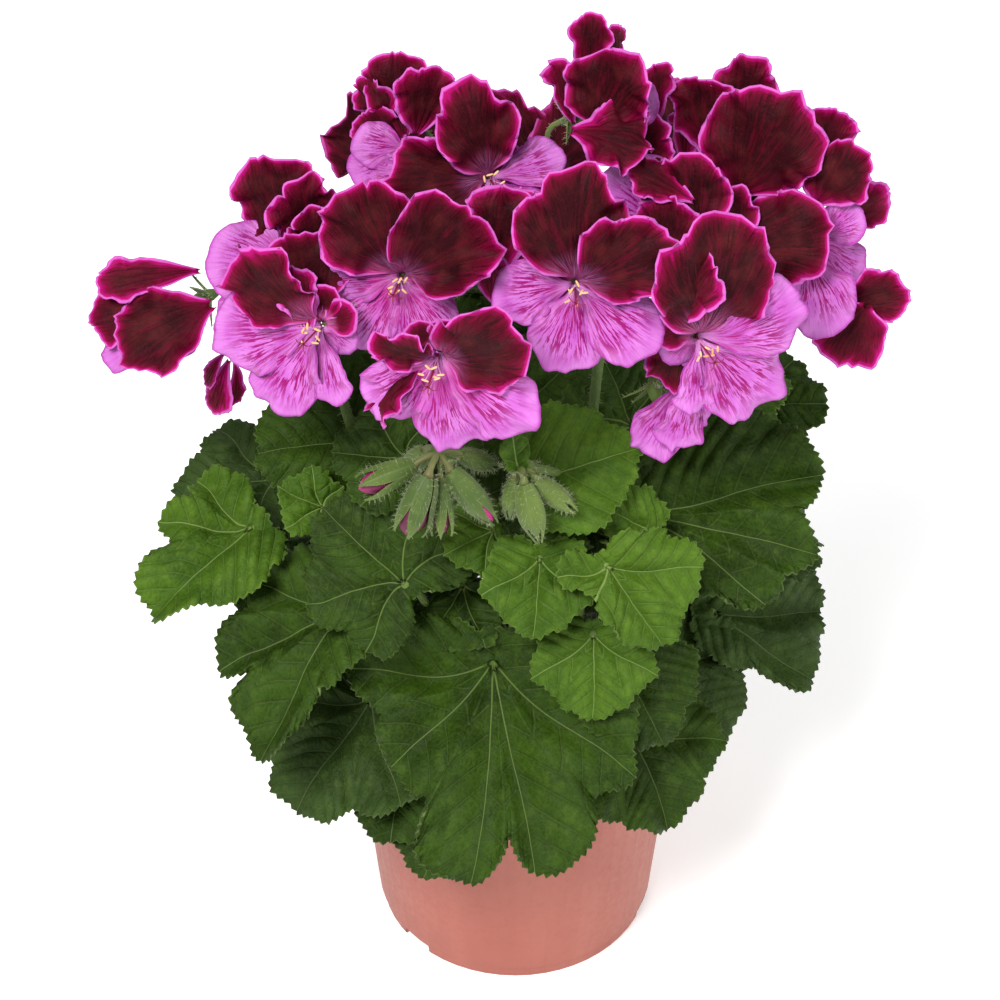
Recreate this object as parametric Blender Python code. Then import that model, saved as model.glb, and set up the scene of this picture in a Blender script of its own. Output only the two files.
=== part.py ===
"""Potted regal geranium: a plastic nursery pot, potting soil, branching shoots, leaves on their stalks,
and heads of five-petalled flowers and hanging buds. Millimetres in the tables, metres in the scene."""
import math
import numpy as np

# ---------------------------------------------------------------- vectors
def V(*a):
    return np.array(a, float)

def unit(v):
    v = np.asarray(v, float)
    return v / max(np.linalg.norm(v), 1e-9)

def rot_about(v, axis, deg):
    a = math.radians(deg)
    k = unit(axis)
    return v * math.cos(a) + np.cross(k, v) * math.sin(a) + k * np.dot(k, v) * (1 - math.cos(a))

def facing(az, el):
    """Unit vector of azimuth az (0 is the front, -Y; positive towards +X) and elevation el."""
    a, e = math.radians(az), math.radians(el)
    return V(math.sin(a) * math.cos(e), -math.cos(a) * math.cos(e), math.sin(e))

def bezier(p0, p1, p2, p3, n):
    t = np.linspace(0, 1, n)[:, None]
    return (1-t)**3*p0 + 3*(1-t)**2*t*p1 + 3*(1-t)*t*t*p2 + t**3*p3

def spline(points, n):
    """Points evenly spread along a smooth curve through the given points."""
    p = np.array(points, float)
    ext = np.vstack([2*p[0]-p[1], p, 2*p[-1]-p[-2]])
    out = []
    for i in range(len(p)-1):
        a, b, c, d = ext[i:i+4]
        t = np.linspace(0, 1, 24, endpoint=False)[:, None]
        out.append(0.5*((2*b)+(c-a)*t+(2*a-5*b+4*c-d)*t*t+(3*b-a-3*c+d)*t**3))
    out = np.vstack(out+[p[-1:]])
    s = np.r_[0, np.cumsum(np.linalg.norm(np.diff(out, axis=0), axis=1))]
    q = np.linspace(0, s[-1], n)
    return np.c_[[np.interp(q, s, out[:, k]) for k in range(3)]].T

def tube_rings(path, radii, sides, start_dir=None):
    """Rings of points round a path, turned as little as possible from one to the next."""
    path = np.asarray(path, float)
    tang = np.gradient(path, axis=0)
    tang /= np.linalg.norm(tang, axis=1)[:, None]
    ref = unit(np.cross(tang[0], V(0, 0, 1))) if start_dir is None else unit(start_dir - tang[0]*np.dot(start_dir, tang[0]))
    if np.linalg.norm(np.cross(tang[0], V(0, 0, 1))) < 1e-3 and start_dir is None:
        ref = V(1, 0, 0)
    rings = []
    for p, t, r in zip(path, tang, radii):
        ref = unit(ref - t*np.dot(ref, t))
        bi = np.cross(t, ref)
        a = np.arange(sides)*2*math.pi/sides
        rings.append(p + r*(np.cos(a)[:, None]*ref + np.sin(a)[:, None]*bi))
    return rings

# ---------------------------------------------------------------- leaf
# outline: (angle from the midrib in degrees, radius as a share of the leaf's length)
OUT_PLAIN = [(-150, .14), (-128, .50), (-108, .66), (-86, .60), (-60, .84), (-32, .78), (0, 1.0),
             (32, .78), (60, .84), (86, .60), (108, .66), (128, .50), (150, .14)]
OUT_ROUND = [(-152, .16), (-130, .56), (-105, .74), (-84, .70), (-56, .90), (-30, .84), (0, 1.0),
             (30, .84), (56, .90), (84, .70), (105, .74), (130, .56), (152, .16)]

def outline(ctrl, phi):
    """Smooth radius at each angle phi (degrees): round lobes, sharper notches between them."""
    phi = (np.asarray(phi, float) + 180) % 360 - 180
    a = np.array([c[0] for c in ctrl], float)
    r = np.array([c[1] for c in ctrl], float)
    a = np.r_[a[-1]-360, a, a[0]+360]
    r = np.r_[r[-1], r, r[0]]
    i = np.clip(np.searchsorted(a, phi, side='right')-1, 0, len(a)-2)
    t = (phi-a[i])/(a[i+1]-a[i])
    r0, r1 = r[i], r[i+1]
    rise = np.sin(t*math.pi/2)**0.8
    fall = np.cos(t*math.pi/2)**0.8
    up = r1 >= r0
    out = np.where(up, r0+(r1-r0)*rise, r1+(r0-r1)*fall)
    # the sinus behind the stalk stays a narrow collar
    back = (phi > a[-2]) | (phi < a[1])
    return np.where(back, r[1], out)

def leaf_frame(leaf):
    base, tip = V(*leaf['base']), V(*leaf['tip'])
    mid = unit(tip-base)
    hint = facing(leaf.get('az', 0), leaf.get('el', 52))
    nor = unit(hint - mid*np.dot(hint, mid))
    nor = rot_about(nor, mid, leaf.get('roll', 0))
    side = np.cross(mid, nor)
    return base, mid, side, nor, np.linalg.norm(tip-base)

def leaf_surface(leaf, rho, phi):
    """Points of the blade at share rho of the way from the stalk to the margin, at angle phi (degrees)."""
    base, mid, side, nor, size = leaf_frame(leaf)
    ph = np.radians(phi)
    R = outline(leaf.get('out', OUT_PLAIN), phi)*size
    r = rho*R
    x, y = r*np.cos(ph), r*np.sin(ph)
    q = r/size
    fold = leaf.get('fold', .12)
    cup = leaf.get('cup', -.10)
    pleat = leaf.get('pleat', .035)
    wave = leaf.get('wave', .03)
    seed = leaf.get('seed', 1.0)
    z = fold*np.abs(y)**1.15/size**.15 + cup*r*q
    z = z - leaf.get('nod', .10)*size*np.clip(x/size, 0, 2)**2
    z = z + pleat*size*q*np.cos(np.radians(np.asarray(phi, float))*6.3+.4)*np.clip(q*1.6, 0, 1)
    z = z + wave*size*q**2*np.sin(ph*3.0+seed*2.1) + .6*wave*size*q**3*np.sin(ph*7.0+seed*5.3)
    return base + x[..., None]*mid + y[..., None]*side + z[..., None]*nor

def stalk_path(leaf, start, n):
    """The petiole: from the stem out to the underside of the blade."""
    base, mid, side, nor, size = leaf_frame(leaf)
    come = unit(nor*0.9 + mid*leaf.get('come', .45))
    end = base - come*1.3
    s = V(*start)
    reach = np.linalg.norm(end-s)
    out = unit(V(end[0]-s[0], end[1]-s[1], 0) + V(0, 0, leaf.get('rise', .35))*reach)
    via = V(*leaf.get('via', (0, 0, 0)))
    return bezier(s, s + out*reach*.42 + via, end - come*reach*.34 + via, end, n)

# ---------------------------------------------------------------- flower
# petals: (angle from the top, length, half width, how far it stands forward in degrees)
PETALS = ((-36, 1.0, .50, 30), (36, 1.0, .50, 30), (108, .86, .34, 18), (180, .92, .36, 8), (-108, .86, .34, 18))

def flower_frame(fl):
    n = facing(fl['az'], fl['el'])
    u = V(0, 0, 1) - n*n[2]
    if np.linalg.norm(u) < 1e-3:
        u = V(0, 1, 0)
    u = rot_about(unit(u), n, -fl.get('roll', 0))
    return V(*fl['pos']), n, u, np.cross(u, n)

def wrap(d):
    return (d+180) % 360 - 180

def corolla(fl, rho, phi):
    """The fused face of the flower: rho from the throat to the petal tips, phi degrees clockwise from the top."""
    pos, n, u, rr = flower_frame(fl)
    size = fl['size']
    phi = np.asarray(phi, float)
    shut = fl.get('shut', 0)
    wsum, L, E = 0, 0, 0
    for k, (a, le, hw, st) in enumerate(PETALS):
        d = np.abs(wrap(phi-a))
        half = 38.0 if k != 3 else 34.0
        w = np.exp(-(d/30.0)**2)
        wsum, L, E = wsum+w, L+w*le*(1-.30*np.clip(d/half, 0, 1.15)**2.4), E+w*st
    L, E = L/wsum*size*fl.get('cad', .86), np.radians(E/wsum+shut+fl.get('lift', 0))
    s = rho*L
    # the claw stands up out of the throat, then the petal opens
    claw = np.radians(fl.get('claw', 62))*np.exp(-(s/size/.16)**2)
    curl = math.radians(fl.get('curl', -16))
    ang = E + (claw-E*0)*np.exp(-(s/size/.2)**2)*.9 + curl*(s/size)**2
    step = np.cos(ang*.6+E*.4), np.sin(ang*.6+E*.4)
    rad, up = s*step[0]+1.2, s*step[1]
    ph = np.radians(phi)
    ru = fl.get('ruffle', .04)*size*rho**2*np.sin(np.radians(phi)*5+fl.get('seed', 1)*1.7)
    return pos + rad[..., None]*(np.cos(ph)[..., None]*u + np.sin(ph)[..., None]*rr) + (up+ru)[..., None]*n

def pedicel_path(fl, start, n):
    pos, nn, u, rr = flower_frame(fl)
    end = pos - nn*fl.get('neck', 11.0)
    s = V(*start)
    reach = np.linalg.norm(end-s)
    via = V(*fl.get('via', (0, 0, 0)))
    out = unit(V(*fl['out'])) if 'out' in fl else unit(end-s+V(0, 0, .5)*reach)
    return bezier(s, s+out*reach*.4+via, end-nn*reach*.35+via, end, n)

# ---------------------------------------------------------------- closed ring solids
def ring_solid(rings, start_point, end_flat=True):
    """Vertices and faces of a closed body: a point, then rings, the last one capped flat.
    A ring may have fewer points than the one before it."""
    verts, faces, idx = [start_point], [], []
    for r in rings:
        idx.append(list(range(len(verts), len(verts)+len(r))))
        verts.extend(r)
    first = idx[0]
    n = len(first)
    for j in range(n):
        faces.append((0, first[j], first[(j+1) % n]))
    for A, B in zip(idx, idx[1:]):
        n, m = len(A), len(B)
        if n == m:
            for j in range(n):
                k = (j+1) % n
                faces.append((A[j], B[j], B[k]))
                faces.append((A[j], B[k], A[k]))
        else:
            at = [j*m//n for j in range(n)]
            for j in range(n):
                k = (j+1) % n
                faces.append((A[j], B[at[j]], A[k]))
                if at[k] != at[j]:
                    faces.append((A[k], B[at[j]], B[at[k]]))
    faces.append(tuple(reversed(idx[-1])))
    return np.array(verts, float), faces

def sheet_normals(fn, rho, phi):
    e = 1e-3
    a = fn(np.maximum(rho, .02)+e, phi)-fn(np.maximum(rho, .02)-e, phi)
    b = fn(np.maximum(rho, .02), phi+.2)-fn(np.maximum(rho, .02), phi-.2)
    c = np.cross(a, b)
    return c/np.maximum(np.linalg.norm(c, axis=-1)[..., None], 1e-12)

def leaf_angles(leaf):
    ctrl = [c[0] for c in leaf.get('out', OUT_PLAIN)]
    mids = [(a+b)/2 for a, b in zip(ctrl, ctrl[1:]) if b-a > 21]
    return np.array(sorted(ctrl+mids+[180.0]), float)

def leaf_solid(leaf, start, thick=1.0, stalk_r=1.3, grow=0.0):
    phi = leaf_angles(leaf)
    base, mid, side, nor, size = leaf_frame(leaf)
    t = thick/2+grow
    f = lambda r, p: leaf_surface(leaf, r, p)
    top, low = [], []
    for r in (.5, 1.0):
        rho = np.full(len(phi), r)
        p = f(rho, phi)
        nn = sheet_normals(f, rho, phi)
        nn = np.where((nn@nor)[:, None] < 0, -nn, nn)
        away = p-base
        p = p+away/np.linalg.norm(away, axis=1)[:, None]*grow*1.3
        top.append(p+nn*t)
        low.append(p-nn*t)
    path = stalk_path(leaf, start, 6)[::-1]
    rr = stalk_r+grow
    tr = tube_rings(path, [rr*1.15]+[rr]*(len(path)-1), 5, mid)
    # the tube's rings turn the same way round as the blade's angles
    turn = np.cross(tr[1][1]-path[1], tr[1][2]-path[1])@(path[1]-path[0])
    want = 1
    rings = [top[0], top[1], low[1], low[0]]
    c0 = np.mean(top[0], axis=0)
    s = np.cross(top[0][3]-base, top[0][4]-base)@(-nor)
    if s*turn < 0:
        tr = [x[::-1] for x in tr]
    # start the small ring where the blade's first angle lies
    d = unit(f(np.array([.5]), phi[:1])[0]-base)
    k = int(np.argmax((tr[1]-path[1])@d))
    tr = [np.roll(x, -k, axis=0) for x in tr]
    return ring_solid(rings+tr, base+nor*t)

def flower_solid(fl, start, thick=1.0, stalk_r=.9, grow=0.0, sides=20):
    phi = np.arange(sides)*360.0/sides
    pos, n, u, rr_ = flower_frame(fl)
    t = thick/2+grow
    f = lambda r, p: corolla(fl, r, p)
    top, low = [], []
    for r in (.5, 1.0+grow/fl['size']*1.3):
        rho = np.full(sides, r)
        p = f(rho, phi)
        nn = sheet_normals(f, rho, phi)
        nn = np.where((nn@n)[:, None] < 0, -nn, nn) if fl.get('shut', 0) < 30 else np.where(((nn*(p-pos-n*np.dot(p.mean(0)-pos, n))).sum(1) > 0)[:, None], -nn, nn)
        top.append(p+nn*t)
        low.append(p-nn*t)
    path = pedicel_path(fl, start, 5)[::-1]
    calyx = 3.0+grow
    ring = lambda c, r, m: c+r*np.array([math.cos(2*math.pi*k/m)*u+math.sin(2*math.pi*k/m)*rr_ for k in range(m)])
    rings = [top[0], top[1], low[1], low[0], ring(pos-n*3.5, calyx, 5), ring(pos-n*(fl.get('neck', 11.0)-1), calyx*.6, 5)]
    tr = tube_rings(path, [stalk_r+grow]*len(path), 5, u)
    if np.cross(tr[1][0]-path[1], tr[1][1]-path[1])@(path[1]-path[0])*(np.cross(rings[-1][0]-pos, rings[-1][1]-pos)@(-n)) < 0:
        tr = [x[::-1] for x in tr]
    k = int(np.argmax((tr[1]-path[1])@u))
    tr = [np.roll(x, -k, axis=0) for x in tr]
    return ring_solid(rings+tr[1:], pos+n*.6)

def stem_path(points, n):
    return spline(points, n)

# ---------------------------------------------------------------- driving dimensions, millimetres
POT_RIM_R = 60.0        # outside radius of the rim
POT_BASE_R = 51.4       # outside radius at the foot
POT_H = 96.0            # height of the pot
POT_WALL = 1.3
FOOT_INSET = 0.7        # the foot is a little narrower than the wall above it
FOOT_H = 5.0
NOTCH_W, NOTCH_H = 13.0, 4.0
NOTCH_AZ = (-47, 73, 193)
DRAIN_R, DRAIN_RING = 3.0, 27.0
SOIL_TOP = 85.0
LEAF_T = 1.0            # blade thickness of the leaves
PETAL_T = 0.9
STALK_R = 1.3           # leaf stalks
PEDICEL_R = 0.9
GAP = 0.35              # clearance kept between neighbouring parts

# main shoots, from the crown at soil level: name -> points
SHOOTS = {
    'A': [(-4, -2, 80), (-22, -10, 118), (-40, -16, 160), (-50, -18, 196)],
    'B': [(-2, -5, 80), (-10, -20, 122), (-18, -30, 168), (-20, -30, 206)],
    'C': [(4, -4, 80), (14, -18, 122), (20, -28, 168), (23, -28, 210)],
    'D': [(5, 1, 80), (26, 2, 118), (44, 0, 160), (54, -2, 200)],
    'E': [(0, 5, 80), (2, 24, 120), (6, 38, 164), (6, 46, 206)],
}
SHOOT_R = (4.4, 3.2)
SHOOT_NAMES = 'ABCDE'

# flower stalks: name -> (shoot, points after the shoot's end)
STALKS = {
    'A': [(-55, -19, 240), (-66, -20, 286)],
    'B': [(-22, -27, 250), (-26, -24, 292)],
    'C': [(24, -32, 250), (28, -22, 294)],
    'D': [(60, -6, 236), (68, -12, 274)],
    'E': [(7, 46, 222), (9, 40, 252)],
}
UMBEL_R = 2.6

# outlines of the leaves that show whole: (angle clockwise from the midrib, share of the length)
OUT_FRONT = [(-146, .16), (-118, .36), (-92, .46), (-62, .74), (-54, .81), (-38, .78), (-26, .96), (-15, .99), (-9, .80), (0, .99),
             (16, .97), (22, .68), (42, .67), (62, .54), (84, .66), (108, .46), (130, .28), (150, .14)]
OUT_LEFT = [(-120, .20), (-68, .30), (-36, .42), (-17, .52), (-10, .78), (0, 1.0),
            (20, .88), (27, .66), (37, .85), (58, .57), (74, .58), (98, .46), (124, .38), (150, .20)]
OUT_WING = [(-140, .16), (-110, .30), (-70, .42), (-34, .62), (-18, .72), (0, 1.0), (16, .98), (32, .62),
            (48, .70), (70, .50), (88, .62), (112, .50), (140, .16)]
OUT_FAN = [(-150, .18), (-112, .34), (-76, .56), (-48, .93), (-29, 1.04), (-14, .83), (0, 1.0),
           (11, .84), (23, .86), (34, .62), (44, .54), (70, .34), (100, .30), (140, .20)]
OUT_TURNED = [(-140, .20), (-104, .46), (-80, .50), (-50, .92), (-34, .98), (-20, .90), (0, 1.0), (18, .52), (34, .46), (66, .34), (104, .26), (140, .16)]
OUT_YOUNG = [(-140, .20), (-112, .62), (-84, .60), (-52, .90), (-28, .84), (0, 1.0), (28, .84), (52, .90), (84, .60), (112, .62), (140, .20)]

def L(name, base, tip, az, el, on, h, **k):
    k.update(name=name, base=base, tip=tip, az=az, el=el, on=on, h=h)
    return k

LEAVES = [
    L('front', (-8, -62, 174), (-10, -114, 121), 2, 46, 'B', 120, out=OUT_FRONT, fold=.05, cup=-.06, nod=.04, seed=1),
    L('left_lower', (-58, -54, 193), (-88, -92, 162), -30, 48, 'A', 140, out=OUT_LEFT, fold=.10, seed=2),
    L('left_wing', (-89, -34, 209), (-121, -62, 200), -20, 55, 'A', 158, out=OUT_WING, fold=.10, seed=3),
    L('left_inner', (-37, -64, 211), (-64, -56, 234), -4, 30, 'B', 165, out=OUT_ROUND, fold=.10, cup=-.2, seed=4),
    L('left_under', (-50, -44, 138), (-79, -74, 118), -25, 50, 'A', 108, out=OUT_ROUND, seed=5),
    L('left_skirt', (-36, -50, 126), (-46, -80, 106), -10, 45, 'B', 104, out=OUT_PLAIN, seed=6),
    L('over_rim', (-22, -62, 110), (-31, -82, 88), -5, 42, 'B', 98, out=OUT_YOUNG, seed=7),
    L('right_fold', (26, -68, 192), (27, -92, 172), 0, 45, 'C', 150, out=OUT_YOUNG, seed=8),
    L('right_fold_low', (40, -50, 170), (55, -78, 146), 15, 45, 'C', 132, out=OUT_PLAIN, seed=9),
    L('young_bright', (29, -72, 232), (40, -94, 206), 12, 45, 'C', 190, out=OUT_ROUND, seed=10),
    L('right_fan', (42, -36, 217), (99, -52, 216), 12, 48, 'D', 172, out=OUT_FAN, fold=.04, nod=.02, seed=11),
    L('right_outer', (70, -8, 146), (108, -20, 122), 25, 48, 'D', 138, out=OUT_TURNED, fold=.02, seed=12),
    L('right_lower', (52, -26, 138), (78, -38, 116), 30, 50, 'D', 104, out=OUT_ROUND, seed=13),
    L('right_skirt', (39, -48, 128), (57, -70, 103), 15, 45, 'C', 102, out=OUT_ROUND, seed=14),
    L('upper_mid', (9, -54, 248), (37, -50, 262), 6, 38, 'C', 205, out=OUT_YOUNG, fold=.2, seed=15),
    L('left_upper', (-46, -18, 234), (-86, -28, 240), -10, 48, 'A', 185, out=OUT_ROUND, seed=16),
    L('left_upper_small', (-36, -42, 246), (-60, -44, 250), -5, 40, 'B', 200, out=OUT_YOUNG, seed=17),
    L('left_back', (-84, 12, 192), (-118, 2, 192), -10, 74, 'A', 150, out=OUT_PLAIN, seed=18),
    L('left_back_low', (-86, -2, 174), (-114, -16, 176), -20, 52, 'A', 130, out=OUT_YOUNG, seed=19),
    L('centre_small', (3, -72, 226), (9, -90, 208), 0, 48, 'B', 180, out=OUT_PLAIN, seed=20),
    L('centre_dark', (-18, -46, 194), (-31, -62, 180), -8, 45, 'B', 150, out=OUT_YOUNG, seed=21),
    L('right_back_top', (84, 34, 206), (108, 30, 212), 20, 60, 'D', 160, out=OUT_YOUNG, seed=23),
    L('back_left', (-48, 58, 176), (-84, 92, 160), -140, 50, 'E', 130, out=OUT_ROUND, seed=24),
    L('back_mid', (-4, 74, 190), (-8, 118, 168), 180, 50, 'E', 150, out=OUT_PLAIN, seed=25),
    L('back_right', (44, 56, 172), (78, 90, 152), 140, 50, 'E', 120, out=OUT_ROUND, seed=26),
    L('back_skirt_left', (-26, 56, 132), (-44, 90, 108), -155, 48, 'E', 104, out=OUT_PLAIN, seed=27),
    L('back_skirt_right', (22, 60, 130), (34, 94, 104), 160, 48, 'E', 98, out=OUT_ROUND, seed=28),
    L('right_side', (74, 22, 168), (112, 42, 150), 100, 52, 'D', 138, out=OUT_PLAIN, seed=29),
    L('left_side', (-72, 30, 150), (-104, 50, 128), -110, 50, 'A', 112, out=OUT_ROUND, seed=30),
]

def F(name, pos, az, el, roll, size, on, **k):
    k.update(name=name, pos=pos, az=az, el=el, roll=roll, size=size, on=on)
    return k

FLOWERS = [
    F('far_left', (-106, -18, 291), -78, -18, 0, 38, 'A', shut=34),
    F('left_top', (-70, -30, 318), -52, 12, 0, 36, 'A'),
    F('left_low', (-60, -58, 314), -24, 22, -10, 38, 'A'),
    F('centre_left', (-36, -44, 322), -6, 24, 14, 40, 'B'),
    F('top_left', (-9, -8, 333), 4, 34, -24, 38, 'B'),
    F('top_back_left', (-32, 8, 334), -72, 16, 0, 34, 'B', shut=12),
    F('centre', (17, -58, 330), 2, 24, 8, 39, 'C'),
    F('centre_low', (-24, -82, 322), -10, 4, 10, 40, 'B', via=(12, 2, -32)),
    F('top', (22, 2, 350), 60, 30, 0, 38, 'C', shut=22),
    F('top_right', (62, 12, 322), 150, 34, 0, 38, 'D'),
    F('far_right_top', (94, 0, 316), 74, 4, 0, 38, 'D'),
    F('far_right_low', (100, -16, 288), 96, -16, 0, 32, 'D', shut=30),
    F('right', (54, -64, 314), 18, 14, -14, 42, 'D'),
    F('inner_right', (40, -14, 326), 20, 44, 0, 30, 'C', shut=24),
    F('hanging_right', (44, -52, 276), 10, -40, 0, 26, 'C', shut=44),
    F('inner_mid', (-2, -32, 322), 0, 50, 0, 28, 'C', shut=40),
    F('left_bud', (-92, -10, 272), -60, -52, 0, 24, 'A', shut=62),
    F('back_mid', (8, 60, 276), 176, 20, 0, 38, 'E'),
    F('back_left', (-34, 50, 286), -142, 14, 0, 38, 'E'),
    F('back_right', (50, 54, 284), 138, 12, 0, 38, 'E'),
]

# hanging bud clusters: knot, the shoot they come from, and buds as (azimuth, elevation, length)
BUDS = [
    dict(name='front_buds', knot=(-24, -76, 288), on='B', via=(-22, -52, 262),
         buds=[(-75, -34, 25), (-40, -52, 26), (0, -62, 28), (35, -60, 25), (70, -40, 25), (150, -50, 20)], fat=4.2),
    dict(name='middle_buds', knot=(11, -68, 266), on='C', via=(18, -46, 240),
         buds=[(-50, -66, 22), (20, -60, 24), (75, -30, 22)], fat=4.0),
]

# ---------------------------------------------------------------- solids in the scene
import bpy
import bmesh
from mathutils import Vector

for ob in list(bpy.data.objects):
    bpy.data.objects.remove(ob, do_unlink=True)

MM = 0.001

def material(name, rgb, rough):
    m = bpy.data.materials.get(name)
    if m is None:
        m = bpy.data.materials.new(name)
        m.use_nodes = True
        b = m.node_tree.nodes['Principled BSDF']
        b.inputs['Base Color'].default_value = (*rgb, 1)
        b.inputs['Roughness'].default_value = rough
    return m

MATS = {
    'pot_plastic': ((.55, .19, .135), .55),
    'peat': ((.035, .022, .014), .95),
    'leaf_green': ((.06, .13, .03), .6),
    'stem_green': ((.12, .19, .05), .6),
    'petal': ((.38, .03, .22), .6),
    'bud_green': ((.14, .22, .06), .6),
}

def mesh_of(verts, faces):
    bm = bmesh.new()
    vs = [bm.verts.new(Vector(v)*MM) for v in verts]
    for f in faces:
        bm.faces.new([vs[i] for i in f])
    bmesh.ops.triangulate(bm, faces=bm.faces[:], quad_method='BEAUTY', ngon_method='BEAUTY')
    bmesh.ops.recalc_face_normals(bm, faces=bm.faces[:])
    if bm.calc_volume(signed=True) < 0:
        bmesh.ops.reverse_faces(bm, faces=bm.faces[:])
    me = bpy.data.meshes.new('m')
    bm.to_mesh(me)
    bm.free()
    return me

def body(name, me, mat):
    ob = bpy.data.objects.new(name, me)
    bpy.context.scene.collection.objects.link(ob)
    rgb, rough = MATS[mat]
    m = material('m_' + name, rgb, rough)
    ob.data.materials.clear()
    ob.data.materials.append(m)
    return ob

def boolean(ob, other, kind):
    mod = ob.modifiers.new('b', 'BOOLEAN')
    mod.operation = kind
    mod.solver = 'EXACT'
    mod.object = other
    dg = bpy.context.evaluated_depsgraph_get()
    me = bpy.data.meshes.new_from_object(ob.evaluated_get(dg))
    ob.modifiers.clear()
    old = ob.data
    ob.data = me
    bpy.data.meshes.remove(old)

def keep_largest(ob):
    bm = bmesh.new()
    bm.from_mesh(ob.data)
    bm.verts.ensure_lookup_table()
    seen, groups = set(), []
    for v in bm.verts:
        if v.index in seen:
            continue
        stack, g = [v], []
        seen.add(v.index)
        while stack:
            a = stack.pop()
            g.append(a)
            for e in a.link_edges:
                o = e.other_vert(a)
                if o.index not in seen:
                    seen.add(o.index)
                    stack.append(o)
        groups.append(g)
    if len(groups) > 1:
        def size(g):
            p = np.array([v.co for v in g])
            return float(np.prod(np.ptp(p, axis=0)+1e-4))
        groups.sort(key=size, reverse=True)
        for g in groups[1:]:
            bmesh.ops.delete(bm, geom=g, context='VERTS')
    bmesh.ops.triangulate(bm, faces=bm.faces[:])
    bm.to_mesh(ob.data)
    bm.free()

def bounds(ob):
    p = np.array([v.co for v in ob.data.vertices])
    return p.min(0), p.max(0)

def tube(path, radii, sides=7):
    path = np.asarray(path, float)
    rings = tube_rings(path, radii, sides)
    return ring_solid(rings, path[0])

def blob(pieces, name, mat):
    """One body out of several that run into each other."""
    ob = body(name, mesh_of(*pieces[0]), mat)
    for p in pieces[1:]:
        q = body('tmp', mesh_of(*p), mat)
        boolean(ob, q, 'UNION')
        bpy.data.objects.remove(q, do_unlink=True)
    return ob

# ---- pot
def lathe(profile, sides):
    rings = [[(r*math.cos(2*math.pi*k/sides), r*math.sin(2*math.pi*k/sides), z) for k in range(sides)] for r, z in profile]
    verts = [p for ring in rings for p in ring]
    faces = []
    n = len(rings)
    for i in range(n-1):
        for k in range(sides):
            a, b = i*sides+k, i*sides+(k+1) % sides
            faces.append((a, b, b+sides, a+sides))
    verts += [(0, 0, profile[0][1]), (0, 0, profile[-1][1])]
    c0, c1 = len(verts)-2, len(verts)-1
    for k in range(sides):
        faces.append(((k+1) % sides, k, c0))
        faces.append(((n-1)*sides+k, (n-1)*sides+(k+1) % sides, c1))
    return verts, faces

def wall_r(z):
    return POT_BASE_R + (POT_RIM_R-POT_BASE_R)*z/POT_H

pot_profile = [(POT_BASE_R-FOOT_INSET-.6, 0), (POT_BASE_R-FOOT_INSET, .6), (wall_r(FOOT_H)-FOOT_INSET, FOOT_H), (wall_r(FOOT_H+.7), FOOT_H+.7),
               (POT_RIM_R-.2, POT_H-.5), (POT_RIM_R-.6, POT_H), (POT_RIM_R-POT_WALL-.1, POT_H), (POT_RIM_R-POT_WALL-.4, POT_H-.5),
               (wall_r(8)-POT_WALL-.4, 8), (wall_r(5)-POT_WALL-3.2, 5.2)]
pot = body('pot', mesh_of(*lathe(pot_profile, 56)), 'pot_plastic')
def box_cut(cx, cy, cz, sx, sy, sz, az):
    a = math.radians(az)
    vs = []
    for x in (-1, 1):
        for y in (-1, 1):
            for z in (-1, 1):
                X, Y = x*sx/2, y*sy/2
                vs.append((cx+X*math.cos(a)-Y*math.sin(a), cy+X*math.sin(a)+Y*math.cos(a), cz+z*sz/2))
    return vs, [(0, 1, 3, 2), (4, 6, 7, 5), (0, 4, 5, 1), (2, 3, 7, 6), (0, 2, 6, 4), (1, 5, 7, 3)]
cuts = []
FLOOR_RISE = 2.4   # the floor outside the middle and the foot ring stands clear of the ground
for az in NOTCH_AZ:
    d = facing(az, 0)
    c = d*(POT_BASE_R-3.5)
    cuts.append(box_cut(c[0], c[1], 0, NOTCH_W, 12, 2*NOTCH_H, az))
for k in range(6):
    a = math.radians(60*k+13)
    cuts.append(lathe([(DRAIN_R, -1), (DRAIN_R, 9)], 14))
    cuts[-1] = ([(x+DRAIN_RING*math.sin(a), y-DRAIN_RING*math.cos(a), z) for x, y, z in cuts[-1][0]], cuts[-1][1])
for c in cuts:
    q = body('tmp', mesh_of(*c), 'pot_plastic')
    boolean(pot, q, 'DIFFERENCE')
    bpy.data.objects.remove(q, do_unlink=True)

# ---- soil, resting inside the wall with a hair of clearance
SOIL_GAP = .4
soil_in = lambda z: wall_r(z)-POT_WALL-.4-SOIL_GAP
floor_z = 5.2+SOIL_GAP
soil_profile = [(wall_r(5)-POT_WALL-3.2-SOIL_GAP, floor_z), (soil_in(9), 9.2), (soil_in(SOIL_TOP-2), SOIL_TOP-2.5), (soil_in(SOIL_TOP-2)-3, SOIL_TOP-.8), (36, SOIL_TOP+1), (16, SOIL_TOP+2.2)]
soil = body('potting_soil', mesh_of(*lathe(soil_profile, 30)), 'peat')

# ---- shoots
def shoot_curve(n):
    return spline(SHOOTS[n], 7)
pieces = [ring_solid([np.array([(9*math.cos(a), 9*math.sin(a), z0) for a in np.arange(10)*math.pi/5]) * (1, 1, 1) for z0 in (76.0, 88.0)], V(0, 0, 75.5))]
for n in SHOOT_NAMES:
    c = shoot_curve(n)
    pieces.append(tube(c, np.linspace(SHOOT_R[0], SHOOT_R[1], len(c)), 7))
shoots = blob(pieces, 'shoots', 'stem_green')

made = []       # (object, maker of the grown cutter, low corner, high corner)

def register(ob, cutter):
    lo, hi = bounds(ob)
    made.append((ob, cutter, lo, hi))

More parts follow.
